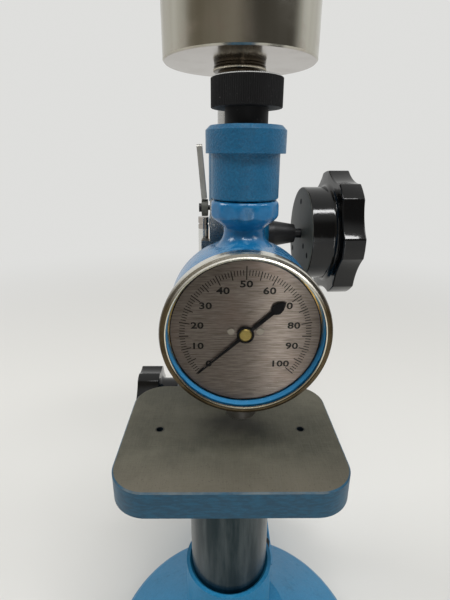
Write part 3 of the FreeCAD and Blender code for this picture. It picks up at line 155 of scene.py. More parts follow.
side = 8.0
bench = bpy.data.meshes.new("bench")
bench.from_pydata([(-side, -side, 0), (side, -side, 0), (side, side, 0), (-side, side, 0)],
                  [], [(0, 1, 2, 3)])
bench_top = bpy.data.objects.new("bench", bench)
bpy.context.scene.collection.objects.link(bench_top)
bench_finish = bpy.data.materials.new("pale_bench")
bench_finish.use_nodes = True
bench_finish.node_tree.nodes.clear()
flow = Flow(bench_finish.node_tree)
bench_x, bench_y = parts_of(flow.add("TexCoord", out="Object"))[:2]
far = rise(length_of(bench_x, bench_y), 0.45, 1.5)
near_shade = flow.add("BsdfDiffuse", None, {"Color": (0.68, 0.675, 0.655, 1)})
far_shade = flow.add("Emission", None, {"Color": wall_tone, "Strength": 1.0})
flow.add("OutputMaterial", None,
         {"Surface": flow.add("MixShader", None, {0: far, 1: near_shade, 2: far_shade})})
bench.materials.append(bench_finish)


def lamp(name, spot, aim, width, height, power, spread=180.0):
    """A soft rectangular lamp at one point, turned towards another; spread in degrees."""
    light = bpy.data.lights.new(name, "AREA")
    light.shape = "RECTANGLE"
    light.size = width
    light.size_y = height
    light.energy = power
    light.spread = math.radians(spread)
    thing = bpy.data.objects.new(name, light)
    thing.location = spot
    thing.rotation_euler = (Vector(aim) - Vector(spot)).to_track_quat("-Z", "Y").to_euler()
    thing.visible_camera = False
    bpy.context.scene.collection.objects.link(thing)


tester_middle = (0.0, 0.0, 0.25)
lamp("ceiling_front", (0.25, -0.78, 1.9), tester_middle, width=1.3, height=0.22, power=20.0)
lamp("ceiling_left", (-1.4, 0.1, 1.4), tester_middle, width=0.8, height=0.4, power=11.0)
lamp("ceiling_right", (1.4, -0.4, 1.4), tester_middle, width=0.8, height=0.3, power=8.0)
lamp("low_strip", (0.104, -0.60, 0.16), (0.0, -0.03, 0.26), width=0.06, height=0.31,
     power=0.066, spread=70.0)


# Base casting
# Round grey-iron casting in smooth medium-blue enamel, with a machined bore
# for the table column; it stands on a rubber ring and two rubber feet.

def begin(name):
    """A new finish and the coordinates of the piece that it is on."""
    finish = bpy.data.materials.new(name)
    finish.use_nodes = True
    return finish, Flow(finish.node_tree).add("TexCoord", out="Object")


def end(finish, sockets):
    """Set or link the sockets of the finish's surface."""
    surface = finish.node_tree.nodes["Principled BSDF"]
    for name, value in sockets.items():
        if isinstance(value, Flow):
            finish.node_tree.links.new(value.socket, surface.inputs[name])
        else:
            surface.inputs[name].default_value = value
    return finish


def noise(place, scale, detail=3.0, rough=0.5):
    """Soft random mottling, with features about 1/scale metres wide."""
    return place.add("TexNoise", None, {
        "Vector": place, "Scale": scale, "Detail": detail, "Roughness": rough})


def stretched(place, x, y, z):
    """The coordinates scaled along each axis, to draw a pattern out."""
    return place.add("Mapping", None, {"Vector": place, "Scale": (x, y, z)})


def bump(height, distance):
    """Surface relief from a height of 0 to 1, which stands for a distance in metres."""
    return height.add("Bump", None, {"Height": height, "Distance": distance, "Strength": 1.0},
                      "Normal")


def facing_up(place):
    """1 on level faces that look up, 0 on walls."""
    return rise(parts_of(place.add("NewGeometry", out="Normal"))[2], 0.6, 0.95)


def coat(finish, *names):
    """Give CAD pieces their finish."""
    for name in names:
        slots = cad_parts[name].data.materials
        slots.clear()
        slots.append(finish)


def enamel(name, deep, pale, dark, peel, grain, gloss, dust_and_sheen_share, over=None):
    """Enamel over cast iron: colour drift, orange peel, rubbed spots, and a paler blue on upward
    faces that is settled dust and a painted sheen.

    A function given as over may still change the colour, from the coordinates."""
    finish, at = begin(name)
    skin = noise(at, grain, 3.0, 0.6)
    drift = noise(at, 30.0, 4.0, 0.6) * 0.35 + skin * 0.65
    specks = rise(noise(at, 1500.0, 2.0), 0.68, 0.78)
    grime = rise(noise(at, 80.0, 6.0, 0.7), 0.55, 0.75)
    colour = blend(rise(drift, 0.30, 0.70), deep, pale)
    colour = blend(grime * 0.4, colour, dark)
    colour = blend(specks * 0.16, colour, (0.16, 0.30, 0.38, 1))
    # Faces that look up turn a paler blue: partly settled dust, partly a painted sheen of the
    # light from above.
    paler_dust_and_sheen = facing_up(at) * rise(noise(at, 210.0, 5.0, 0.65), 0.44, 0.72)
    colour = blend(paler_dust_and_sheen * dust_and_sheen_share, colour, (0.20, 0.36, 0.46, 1))
    if over:
        colour = over(at, colour)
    return end(finish, {
        "Base Color": colour,
        "Roughness": gloss + grime * 0.16 + paler_dust_and_sheen * 0.22 + skin * 0.08,
        "Normal": bump(skin * 0.7 + noise(at, 150.0, 2.0) * 0.3, peel),
        "Specular IOR Level": 0.36})


coat(enamel("base_blue", deep=(0.008, 0.142, 0.285, 1), pale=(0.020, 0.185, 0.360, 1),
            dark=(0.020, 0.080, 0.120, 1), peel=0.00012, grain=620.0, gloss=0.30, dust_and_sheen_share=0.08),
     "base_casting")

rubber, at = begin("black_rubber")
grain = noise(at, 900.0, 3.0)
end(rubber, {"Base Color": blend(grain, (0.012, 0.012, 0.012, 1), (0.035, 0.034, 0.032, 1)),
             "Roughness": 0.72 + grain * 0.2, "Normal": bump(grain, 0.00006)})
coat(rubber, "foot_ring", "rear_feet", "shaft_wiper", "shaft_seal")

black_steel, at = begin("black_oxide")
grain = noise(at, 800.0, 3.0)
worn = rise(noise(at, 160.0, 6.0, 0.7), 0.60, 0.74)
end(black_steel, {
    "Base Color": blend(worn * 0.35, (0.010, 0.010, 0.011, 1), (0.07, 0.065, 0.06, 1)),
    "Roughness": 0.34 + grain * 0.22,
    "Metallic": 0.25 + worn * 0.4,
    "Normal": bump(grain, 0.00003)})
coat(black_steel, "table_clamp_screw", "upright_bolts", "arm_clamp_screw",
     "lever_pivot_screw", "pinion_shaft", "pinion_ferrule")


# Upright and arm
# Cast column behind the table and the arm that holds the durometer, in
# darker, rougher enamel over sand-cast skin. Two bronze bushes guide the shaft.

coat(enamel("cast_blue", deep=(0.0004, 0.060, 0.140, 1), pale=(0.003, 0.108, 0.222, 1),
            dark=(0.003, 0.045, 0.085, 1), peel=0.00055, grain=1000.0, gloss=0.32, dust_and_sheen_share=0.60),
     "upright_casting", "arm_casting")

bronze, at = begin("bronze")
rings = noise(stretched(at, 1.0, 1.0, 18.0), 300.0, 2.0)
end(bronze, {"Base Color": blend(rings, (0.36, 0.22, 0.10, 1), (0.52, 0.34, 0.17, 1)),
             "Metallic": 1.0, "Roughness": 0.24 + rings * 0.16, "Normal": bump(rings, 0.00002)})
coat(bronze, "lower_shaft_bush", "upper_shaft_bush", "pinion_end_bush")


# Load shaft and the other bright steel
# Ground bars and small turned pieces, with the fine rings of the tool and
# faint brown staining.

def turned_steel(name, dark, light, gloss, streak=(1.0, 1.0, 45.0)):
    """Metal with fine tool marks, crowded along the streak's large axes, and light staining."""
    finish, at = begin(name)
    rings = noise(stretched(at, *streak), 120.0, 3.0, 0.6)
    stain = rise(noise(at, 55.0, 6.0, 0.7), 0.54, 0.78)
    colour = blend(rings, dark, light)
    colour = blend(stain * 0.45, colour, (0.20, 0.15, 0.10, 1))
    return end(finish, {"Base Color": colour, "Metallic": 1.0,
                        "Roughness": gloss + rings * 0.10 + stain * 0.14,
                        "Normal": bump(rings, 0.000012)})


coat(turned_steel("bar_steel", (0.36, 0.355, 0.34, 1), (0.52, 0.515, 0.50, 1), gloss=0.22),
     "load_shaft", "lock_stud", "indenter_stem", "tube_fitting", "valve_block", "stop_pin",
     "calibrated_spring", "movement_arbor", "back_cover_screws")
coat(turned_steel("foot_steel", (0.10, 0.098, 0.094, 1), (0.19, 0.186, 0.18, 1), gloss=0.30),
     "presser_foot")
coat(turned_steel("bright_steel", (0.66, 0.66, 0.64, 1), (0.80, 0.80, 0.78, 1), gloss=0.20),
     "bleed_tube", "indenter_point")


# Weight
# Turned steel cylinder in old nickel plate, bright but warm, with soft vertical
# streaks that are painted reflections of the room, and a painted shade on its underside.

weight_foot = 0.4219
nickel, at = begin("old_nickel")
# Soft vertical streaks in the plate's colour: painted reflections of the room.
streak = noise(stretched(at, 1.0, 1.0, 0.06), 26.0, 4.0, 0.55)
haze = noise(at, 48.0, 5.0, 0.6)
tool = noise(stretched(at, 1.0, 1.0, 40.0), 160.0, 2.0)
colour = blend(rise(streak, 0.32, 0.70), (0.33, 0.305, 0.24, 1), (0.56, 0.545, 0.48, 1))
colour = blend(rise(haze, 0.5, 0.75) * 0.4, colour, (0.42, 0.32, 0.27, 1))
# The underside is drawn a plain greyish colour: painted shade.
shaded_underside = rise(parts_of(at)[2], weight_foot + 0.0007, weight_foot)
colour = blend(shaded_underside, colour, (0.42, 0.39, 0.36, 1))
end(nickel, {"Base Color": colour, "Metallic": 1.0,
             "Roughness": 0.13 + rise(haze, 0.4, 0.8) * 0.12 + tool * 0.05,
             "Normal": bump(tool, 0.000006)})
coat(nickel, "weight", "valve_gland")


# Collar under the weight
# Turned steel collar, wider where it meets the weight. Two grooves run round
# the wide part, and its ribbed crest is drawn bright where the rest is dark brown.

def woven(grids):
    """Vertices and quads of several grids of points.

    Each grid is (rows, points round, 3), its columns close on themselves, and
    its rows do too where the grid is marked as a ring."""
    spots, faces, start = [], [], 0
    for rows, ring in grids:
        count, around = rows.shape[:2]
        cell = np.arange((count if ring else count - 1) * around)
        row, column = cell // around, cell % around
        after, below = (column + 1) % around, (row + 1) % count
        faces.append(start + np.stack([row * around + column, row * around + after,
                                       below * around + after, below * around + column], 1))
        spots.append(rows.reshape(-1, 3))
        start += count * around
    return np.concatenate(spots), np.concatenate(faces)


def skin(name, grids, finish, body, slot, crease=38.0):
    """Mesh piece from grids of points, its poles welded and faces turned outwards."""
    spots, faces = woven(grids)
    mesh = bpy.data.meshes.new(name)
    mesh.from_pydata(spots.tolist(), [], faces.tolist())
    work = bmesh.new()
    work.from_mesh(mesh)
    bmesh.ops.remove_doubles(work, verts=work.verts, dist=1e-7)
    bmesh.ops.recalc_face_normals(work, faces=work.faces)
    work.to_mesh(mesh)
    work.free()
    mesh.polygons.foreach_set("use_smooth", np.ones(len(mesh.polygons), bool))
    mesh.set_sharp_from_angle(angle=math.radians(crease))
    mesh.materials.append(finish)
    piece = bpy.data.objects.new(name, mesh)
    bpy.context.scene.collection.objects.link(piece)
    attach(piece, body)
    return piece


def turned(profile, angle, centre, ribs=0.0):
    """Grid about a vertical axis, from a profile of (radius, height, share of the ribs).

    Each profile point goes round at its radius, less its share of the ribs."""
    radius, height, share = np.array(profile, float).T
    reach = radius[:, None] - share[:, None] * ribs
    return np.stack([centre[0] + reach * np.cos(angle), centre[1] + reach * np.sin(angle),
                     np.repeat(height[:, None], len(angle), 1)], 2)


hub_low, hub_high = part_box("weight_hub")
hub_middle = ((hub_low.x + hub_high.x) / 2, (hub_low.y + hub_high.y) / 2)
hub_foot, hub_top = hub_low.z, hub_high.z
hub_points = 540
hub_angle = np.linspace(0.0, 2.0 * np.pi, hub_points, endpoint=False)
rib_depth = 0.00016
hub_ribs = rib_depth * (np.arange(hub_points) % 4 // 2)
lip = (hub_high.x - hub_low.x) / 2
throat = 0.0138
crest_z = hub_top - 0.0038
collar_profile = [
    (0.0, hub_foot, 0), (throat - 0.0004, hub_foot, 0), (throat, hub_foot + 0.0004, 0),
    (throat, hub_top - 0.0048, 0), (lip - 0.0007, hub_top - 0.0046, 0),
    (lip - 0.0001, hub_top - 0.0042, 1), (lip, crest_z, 1), (lip - 0.0001, hub_top - 0.0034, 1),
    (lip - 0.0010, hub_top - 0.0029, 0), (lip - 0.0010, hub_top - 0.0026, 0),
    (lip - 0.0003, hub_top - 0.0022, 0), (lip - 0.0003, hub_top - 0.0018, 0),
    (lip - 0.0012, hub_top - 0.0014, 0), (lip - 0.0012, hub_top - 0.0010, 0),
    (lip - 0.0006, hub_top - 0.0006, 0), (lip - 0.0006, hub_top, 0), (0.0, hub_top, 0)]
dark_collar_steel, at = begin("dark_collar_steel")
film = noise(at, 110.0, 5.0, 0.65)
crest = rise(abs(parts_of(at)[2] - crest_z), 0.0006, 0.0003)
colour = blend(film, (0.034, 0.026, 0.018, 1), (0.095, 0.078, 0.055, 1))
colour = blend(crest, colour, (0.62, 0.58, 0.48, 1))
end(dark_collar_steel, {"Base Color": colour, "Metallic": 1.0, "Roughness": 0.20 + film * 0.16,
                 "Normal": bump(film, 0.00002)})
weight_collar = skin("weight_collar_ribbed",
                     [(turned(collar_profile, hub_angle, hub_middle, hub_ribs), False)],
                     dark_collar_steel, "carriage", "satin_steel")
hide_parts("weight_hub")


# Lift knob and lock knob
# Moulded black phenolic: a round hub and seven broad lobes, polished, with a
# duller inner face drawn paler grey as painted light against its shade, and a few moulding pits
# drawn as painted shade.

def phenolic(name, spot, ahead, hub_face, pits):
    """Polished black moulding, duller on the hub's face, where the pits are; the face is painted
    paler grey against its shade and the pits are painted dark.
    """
    finish, at = begin(name)
    place = at.add("VectorMath", {"operation": "SUBTRACT"}, {0: at, 1: spot})
    depth = at.add("VectorMath", {"operation": "DOT_PRODUCT"}, {0: place, 1: ahead}, "Value")
    side = at.add("VectorMath", {"operation": "DOT_PRODUCT"},
                  {0: place, 1: (-ahead[1], abs(ahead[0]), 0.0)}, "Value")
    up = parts_of(place)[2]
    swirl = noise(at, 90.0, 5.0, 0.65)
    scuff = rise(noise(at, 420.0, 4.0, 0.7), 0.62, 0.74)
    face = rise(depth, hub_face + 0.0006, hub_face + 0.0003)
    from_pits = [length_of(side - pit_side, up - pit_up) for pit_side, pit_up in pits]
    nearest = from_pits[0]
    for distance in from_pits[1:]:
        nearest = nearest.maths("MINIMUM", nearest, distance)
    shaded_pit = face * rise(nearest, 0.0021, 0.0016)
    # The hub's face is drawn paler grey: painted light that lifts the face out of its shade.
    colour = blend(face, (0.0030, 0.0030, 0.0033, 1), (0.105, 0.106, 0.092, 1))
    colour = blend(scuff * 0.20, colour, (0.05, 0.05, 0.048, 1))
    # The pits are dark spots without a hollow in the mesh: painted shade.
    colour = blend(shaded_pit, colour, (0.001, 0.001, 0.001, 1))
    return end(finish, {"Base Color": colour,
                        "Roughness": 0.07 + swirl * 0.08 + face * 0.38 + scuff * 0.12 + shaded_pit * 0.5,
                        "Normal": bump(swirl, 0.00008),
                        "Specular IOR Level": 0.40})


def lobed_knob(name, spot, ahead, inner, step, outer, hub, radius, phase, finish, body):
    """Knob along an axis through a spot: a hub, a hollow fillet, then seven lobes.

    The rim is a circle for a sixth of the pitch either side of a lobe's middle,
    and a shallow hollow arc between two lobes. Along the axis the hub's edge, the
    fillet and the rim's edges are quarter circles; the outer face is dished."""
    flute_share = 0.048
    edge = 0.0010
    dish = 0.0012
    pitch = 2.0 * np.pi / 7.0
    angle = phase + np.linspace(0.0, 2.0 * np.pi, 420, endpoint=False)
    gap = pitch / 3.0
    swing = 2.0 * math.atan(flute_share / math.sin(gap))
    flute = radius * math.sin(gap) / math.sin(swing)
    middle = radius * math.cos(gap) + flute * math.cos(swing)
    away = np.abs(np.mod(angle - phase, pitch) - pitch / 2.0)
    hollow = middle * np.cos(away) - np.sqrt(
        np.maximum(flute ** 2 - (middle * np.sin(away)) ** 2, 0.0))
    lobes = np.where(away < gap, hollow, radius)
    root = lobes.min()
    bend = np.linspace(0.0, np.pi / 2.0, 6)
    soft = radius * 0.020
    cove = (root - hub) * 0.42
    profile = [(inner, 0.0, 0.0), (inner, 0.0, hub - edge)]
    profile += [(inner + edge * (1 - np.cos(a)), 0.0, hub - edge + edge * np.sin(a))
                for a in bend]
    profile += [(step - cove + cove * np.sin(a), 0.0, hub + cove * (1 - np.cos(a)))
                for a in bend]
    profile += [(step, 1.0, -soft)]
    profile += [(step + soft * (1 - np.cos(a)), 1.0, -soft + soft * np.sin(a)) for a in bend[1:]]
    profile += [(outer - soft + soft * np.sin(a), 1.0, -soft + soft * np.cos(a)) for a in bend]
    profile += [(outer, 0.0, root * 0.84), (outer - dish, 0.0, root * 0.76),
                (outer - dish, 0.0, 0.0)]
    along, whole, extra = np.array(profile).T
    reach = whole[:, None] * lobes[None, :] + extra[:, None]
    ahead = np.array(ahead)
    side = np.array((-ahead[1], abs(ahead[0]), 0.0))
    rows = (np.array(spot) + along[:, None, None] * ahead
            + (reach * np.cos(angle))[:, :, None] * side
            + (reach * np.sin(angle))[:, :, None] * np.array((0.0, 0.0, 1.0)))
    return skin(name, [(rows, False)], finish, body, "phenolic")


lift_spot = (0.001189, 0.064556, 0.319)
lift_ahead = (math.cos(math.radians(3.5)), math.sin(math.radians(3.5)), 0.0)
lift_face = 0.0405
lift_black = phenolic("lift_phenolic", lift_spot, lift_ahead, lift_face, [
    (0.0032, 0.0205), (-0.0096, -0.0068), (-0.0196, -0.0108), (0.0187, -0.0139)])
lift_skin = lobed_knob("lift_knob_moulding", lift_spot, lift_ahead, lift_face, step=0.0566,
                       outer=0.0700, hub=0.030, radius=0.0402, phase=math.radians(29.7),
                       finish=lift_black, body="lift_drive")
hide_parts("lift_knob")

lock_spot = (0.0, 0.084, 0.181)
lock_ahead = (-1.0, 0.0, 0.0)
lock_face = 0.046
lock_black = phenolic("lock_phenolic", lock_spot, lock_ahead, lock_face, [(0.004, 0.008)])
lock_skin = lobed_knob("lock_knob_moulding", lock_spot, lock_ahead, lock_face, step=0.0600,
                       outer=0.0765, hub=0.015, radius=0.0245, phase=math.radians(8.0),
                       finish=lock_black, body="shaft_lock")
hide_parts("lock_knob")
coat(lock_black, "lever_hub")


# Table
# Iron plate with a ground top that has gone dark brown-grey, a thin rubbed edge,
# a painted shadow under the presser foot, painted shade in its holes, and enamel on its sides and
# underside; it is pressed on a steel tube.

table_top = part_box("table_plate")[1].z
table_x = -0.006
hole_reach = 0.0425
hole_radius = 0.0022
foot_shadow_x, foot_shadow_y, foot_shadow_width, foot_shadow_depth = -0.004, 0.006, 0.022, 0.013
table_finish, at = begin("table_iron")
x, y, z = parts_of(at)
ground = rise(z, table_top - 0.00022, table_top - 0.00012) * facing_up(at)
edge = rise(z, table_top - 0.00095, table_top - 0.00080) * (1.0 - ground)
patches = noise(at, 34.0, 6.0, 0.62)
grind = noise(stretched(at, 1.0, 26.0, 1.0), 90.0, 4.0, 0.6)
cross = noise(stretched(at, 22.0, 1.0, 1.0), 110.0, 4.0, 0.6)
iron = blend(rise(patches, 0.30, 0.72), (0.060, 0.059, 0.042, 1), (0.112, 0.106, 0.078, 1))
iron = blend(rise(y, -0.015, -0.050) * 0.6, iron, (0.130, 0.114, 0.086, 1))
iron = blend(rise(grind + cross, 0.80, 1.20) * 0.22, iron, (0.165, 0.150, 0.120, 1))
flecks = rise(noise(at, 1300.0, 2.0), 0.62, 0.74)
iron = blend(flecks * 0.55, iron, (0.040, 0.034, 0.028, 1))
# A soft dark patch on the ground top under the presser foot: its painted shadow and reflection.
foot_shadow = length_of((x - foot_shadow_x) / foot_shadow_width, (y - foot_shadow_y) / foot_shadow_depth)
foot_shadow = rise(foot_shadow + patches * 0.8, 1.6, 0.6)
iron = blend(foot_shadow * 0.65, iron, (0.018, 0.016, 0.015, 1))
hole = length_of(abs(x - table_x) - hole_reach, y)
hole_rim = rise(hole, hole_radius + 0.0012, hole_radius + 0.0002)
iron = blend(hole_rim * 0.6, iron, (0.03, 0.028, 0.024, 1))
drift = noise(stretched(at, 0.4, 0.4, 1.4), 520.0, 4.0, 0.6)
side_blue = blend(rise(drift, 0.34, 0.68), (0.0, 0.040, 0.080, 1), (0.001, 0.064, 0.122, 1))
chips = rise(noise(at, 260.0, 5.0, 0.7), 0.66, 0.74)
side_blue = blend(chips * 0.4, side_blue, (0.02, 0.040, 0.045, 1))
colour = blend(ground, side_blue, iron)
colour = blend(edge * rise(patches, 0.42, 0.66) * 0.55, colour, (0.16, 0.16, 0.14, 1))
# The walls of the two holes are drawn near black: painted shade inside them.
bore = rise(hole, hole_radius + 0.0001, hole_radius - 0.0001) * (1.0 - ground)
colour = blend(bore, colour, (0.006, 0.006, 0.006, 1))
relief = (grind * 0.5 + cross * 0.5) * ground + (1.0 - ground) * noise(at, 320.0, 3.0)
end(table_finish, {"Base Color": colour,
                   "Metallic": ground * 0.30,
                   "Roughness": 0.38 + ground * 0.14 + patches * 0.10,
                   "Normal": bump(relief, 0.00009),
                   "Specular IOR Level": 0.36})
coat(table_finish, "table_plate")

column_finish, at = begin("column_steel")
rings = noise(stretched(at, 1.0, 1.0, 40.0), 110.0, 3.0, 0.6)
# The steel is drawn dark blue-grey with soft vertical streaks: painted reflections of the blue
# base and the dim room.
sheen_streaks = noise(stretched(at, 1.0, 1.0, 0.10), 110.0, 5.0, 0.6)
colour = blend(rise(sheen_streaks, 0.38, 0.68), (0.018, 0.029, 0.033, 1), (0.066, 0.080, 0.084, 1))
end(column_finish, {"Base Color": colour, "Metallic": 1.0,
                    "Roughness": 0.16 + rings * 0.10 + sheen_streaks * 0.08,
                    "Normal": bump(rings, 0.00001)})
coat(column_finish, "table_column")


# Knurled screw
# Blackened steel: a plain neck and a straight-knurled head whose crests are
# dusted white, and whose crests along the top rim are drawn bright.

screw_low, screw_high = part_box("knurled_screw")
screw_top = screw_high.z
neck_low, head_low = 0.3810, 0.3884
stem_radius, neck_radius = 0.0050, 0.0101
head_radius = (screw_high.x - screw_low.x) / 2
screw_points = 432
knurl_depth = 0.00026
screw_angle = np.linspace(0.0, 2.0 * np.pi, screw_points, endpoint=False)
screw_ribs = knurl_depth * (0.5 - 0.5 * np.cos(2.0 * np.pi * np.arange(screw_points) / 4.0))
screw_profile = [
    (0.0, screw_low.z, 0), (stem_radius, screw_low.z, 0), (stem_radius, neck_low, 0),
    (neck_radius, neck_low, 0), (neck_radius, head_low, 0), (head_radius - 0.0003, head_low, 0.5),
    (head_radius, head_low + 0.0003, 1), (head_radius, screw_top - 0.0005, 1),
    (head_radius - 0.0005, screw_top, 1), (head_radius - 0.0010, screw_top, 0),
    (0.0, screw_top, 0)]
knurl_black, at = begin("knurl_black")
x, y, z = parts_of(at)
crest = rise(noise(at, 1500.0, 2.0), 0.64, 0.74)
rub = noise(at, 130.0, 4.0)
outermost = rise(length_of(x, y), head_radius - 0.0006, head_radius - 0.0003)
# The knurl's crests along the top rim are drawn bright grey.
rim = rise(z, screw_top - 0.0006, screw_top - 0.0004) * outermost
colour = blend(crest * rise(rub, 0.40, 0.65) * 0.6, (0.0055, 0.0055, 0.0060, 1),
               (0.10, 0.10, 0.098, 1))
end(knurl_black, {
    "Base Color": blend(rim, colour, (0.45, 0.45, 0.44, 1)),
    "Roughness": 0.42 + rub * 0.25,
    "Normal": bump(rub, 0.00005),
    "Specular IOR Level": 0.16})
screw_skin = skin("knurled_screw_head",
                  [(turned(screw_profile, screw_angle, (0.0, 0.0), screw_ribs), False)],
                  knurl_black, "carriage", "black_steel", 30.0)
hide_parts("knurled_screw")


# Durometer case
# Die-cast round cup whose crown flows up in a hollow curve to a waist and a twelve-sided collar;
# gloss enamel with dust and a painted sheen on upward faces, and painted light inside the bezel.

case_z = 0.2879
case_radius = 0.0396


def cup_wall(at, colour):
    """The cup's wall inside the bezel, drawn a paler sky blue: painted light where the bezel's
    shade falls.
    """
    x, y, z = parts_of(at)
    wall = rise(length_of(x, z - case_z), 0.0376, 0.0372) * rise(y, -0.0200, -0.0210)
    return blend(wall, colour, (0.06, 0.33, 0.66, 1))


case_blue = enamel("case_blue", deep=(0.004, 0.105, 0.250, 1), pale=(0.014, 0.140, 0.310, 1),
                   dark=(0.012, 0.055, 0.090, 1), peel=0.00014, grain=420.0, gloss=0.16,
                   dust_and_sheen_share=0.40, over=cup_wall)

# The cup's section as (y, radius), from the bezel's seat over the back and in again.
bend = np.linspace(0.0, np.pi / 2.0, 8)
cup_profile = [(-0.0316, 0.0371), (-0.0316, 0.0385), (-0.0270, 0.0386), (-0.0270, 0.0390)]
cup_profile += [(-0.0270 + 0.0006 * (1 - np.cos(a)), 0.0390 + 0.0006 * np.sin(a)) for a in bend]
cup_profile += [(0.0068 + 0.0041 * np.sin(a), 0.0363 + 0.0033 * np.cos(a)) for a in bend]
cup_profile += [(0.0109, 0.03605), (0.0080, 0.03605), (0.0080, 0.0330), (-0.0234, 0.0330),
                (-0.0234, 0.0371)]
along, reach = np.array(cup_profile).T
turn = np.linspace(0.0, 2.0 * np.pi, 180, endpoint=False)
cup = np.stack([reach[:, None] * np.cos(turn), np.repeat(along[:, None], len(turn), 1),
                case_z + reach[:, None] * np.sin(turn)], 2)


def rim_height(x):
    """Height of the cup's outside above its centre, at a distance to the side: a circle's."""
    return np.sqrt(np.maximum(case_radius ** 2 - x ** 2, 0.0))


def root_curve(angle, waist, hollow, upward):
    """Hollow foot of a neck that stands on the cup: a quarter circle from the
    neck's wall out to the cup's skin, whose height follows the round cup."""
    quarter = np.linspace(0.0, np.pi / 2.0, 12)[:, None]
    reach = waist + hollow - hollow * np.cos(quarter)
    x = reach * np.cos(angle)
    y = np.clip(reach * np.sin(angle), -0.0262, 0.0100)
    lift = hollow - hollow * np.sin(quarter) - 0.0002 * (quarter / 1.57)
    return np.stack([x, y, case_z + upward * (rim_height(x) + lift)], 2)


def inner_end(height):
    """A row of points at one height on the spindle's axis, which closes a neck inside."""
    return np.stack([neck_angle * 0.0, neck_angle * 0.0, np.full(len(neck_angle), height)],
                    1)[None]


# The collar's section as (height, largest radius); its twelve flats cut the radius down.
half_flat = math.radians(15.0)
flat_distance = 0.0165
waist_radius = 0.01032
boss_radius = 0.0095
plug_depth = 0.030
neck_angle = np.linspace(0.0, 2.0 * np.pi, 192, endpoint=False) + half_flat
corner = np.mod(neck_angle - half_flat, 2.0 * half_flat) - half_flat
twelve = flat_distance / np.cos(corner)
collar_sizes = [
    (0.3620, 0.0), (0.3620, 0.00965), (0.3476, 0.00965), (0.3476, 0.01500), (0.3473, 0.01570),
    (0.3469, 0.01610), (0.3464, 0.01640), (0.3459, 0.01660), (0.3453, 0.01680),
    (0.3430, 0.01690), (0.3410, 0.01690), (0.3402, 0.01680), (0.3396, 0.01650),
    (0.3389, 0.01600), (0.3381, 0.01520), (0.3373, 0.01420), (0.3364, 0.01300),
    (0.3355, 0.01180), (0.3347, 0.01090), (0.3340, 0.01045), (0.3336, 0.01035)]
height, limit = np.array(collar_sizes).T
reach = np.minimum(twelve[None, :], limit[:, None])
collar = np.stack([reach * np.cos(neck_angle), reach * np.sin(neck_angle),
                   np.repeat(height[:, None], len(neck_angle), 1)], 2)
hollow = 0.0056 + 0.0012 * np.maximum(-np.sin(neck_angle), 0.0)
foot = root_curve(neck_angle, waist_radius, hollow, 1.0)
neck = np.concatenate([collar, foot, inner_end(case_z + plug_depth)])

boss_low = 0.2340
boss = turned([(0.0, boss_low, 0), (0.0030, boss_low, 0), (boss_radius - 0.0004, boss_low, 0),
               (boss_radius, boss_low + 0.0004, 0)], neck_angle, (0.0, 0.0))
boss_foot = root_curve(neck_angle, boss_radius, 0.0030, -1.0)
spindle_boss = np.concatenate([boss, boss_foot, inner_end(case_z - plug_depth)])

case_skin = skin("durometer_case_casting",
                 [(cup, True), (neck, False), (spindle_boss, False)],
                 case_blue, "carriage", "case_paint", 32.0)
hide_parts("durometer_case")
coat(case_blue, "back_cover")


# Bezel and crystal
# Rolled ring in worn chrome, drawn dark brown on its sides and bright along the top as a
# painted reflection, with a painted highlight on its lip, over a flat glass.

bezel_finish, at = begin("bezel_chrome")
x, _, z = parts_of(at)
tarnish = noise(at, 70.0, 6.0, 0.65)
scratch = noise(stretched(at, 1.0, 14.0, 1.0), 500.0, 2.0)
lip_highlight = rise(length_of(x, z - case_z), 0.0380, 0.0377)
colour = blend(rise(tarnish, 0.34, 0.7), (0.045, 0.032, 0.016, 1), (0.090, 0.068, 0.038, 1))
# Painted reflection: the ring is drawn bright along the top, where it would mirror the ceiling,
# and dark brown below.
colour = blend(rise(z, case_z + 0.014, case_z + 0.037), colour, (0.72, 0.70, 0.63, 1))
# Painted highlight along the inner edge of the lip.
colour = blend(lip_highlight, colour, (0.70, 0.67, 0.54, 1))
end(bezel_finish, {"Base Color": colour, "Metallic": 1.0,
                   "Roughness": 0.15 + tarnish * 0.12 + rise(scratch, 0.62, 0.7) * 0.10,
                   "Normal": bump(tarnish, 0.00004)})
coat(bezel_finish, "bezel_ring")

glass, at = begin("sight_glass")
shine = rise(at.add("Fresnel", None, {"IOR": 1.5}), 0.06, 0.60) * 0.30
end(glass, {"Base Color": (1, 1, 1, 1), "Metallic": 1.0, "Roughness": 0.02, "Alpha": shine})
coat(glass, "crystal")


# Dial
# Silvered plate brushed from side to side, with a printed scale of 0 to 100
# over 264 degrees and plain numbers, and a painted shadow round its edge; two small screws hold
# it.

dial_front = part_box("dial_plate")[0].y
dial_silver, at = begin("dial_silver")
x, _, z = parts_of(at)
brush = noise(stretched(at, 1.0, 1.0, 16.0), 110.0, 5.0, 0.7)
fine = noise(stretched(at, 1.0, 1.0, 30.0), 700.0, 2.0)
age = noise(at, 60.0, 5.0, 0.6)
colour = blend(rise(brush, 0.30, 0.70), (0.078, 0.064, 0.053, 1), (0.165, 0.142, 0.122, 1))
colour = blend(rise(age, 0.45, 0.75) * 0.4, colour, (0.120, 0.085, 0.068, 1))
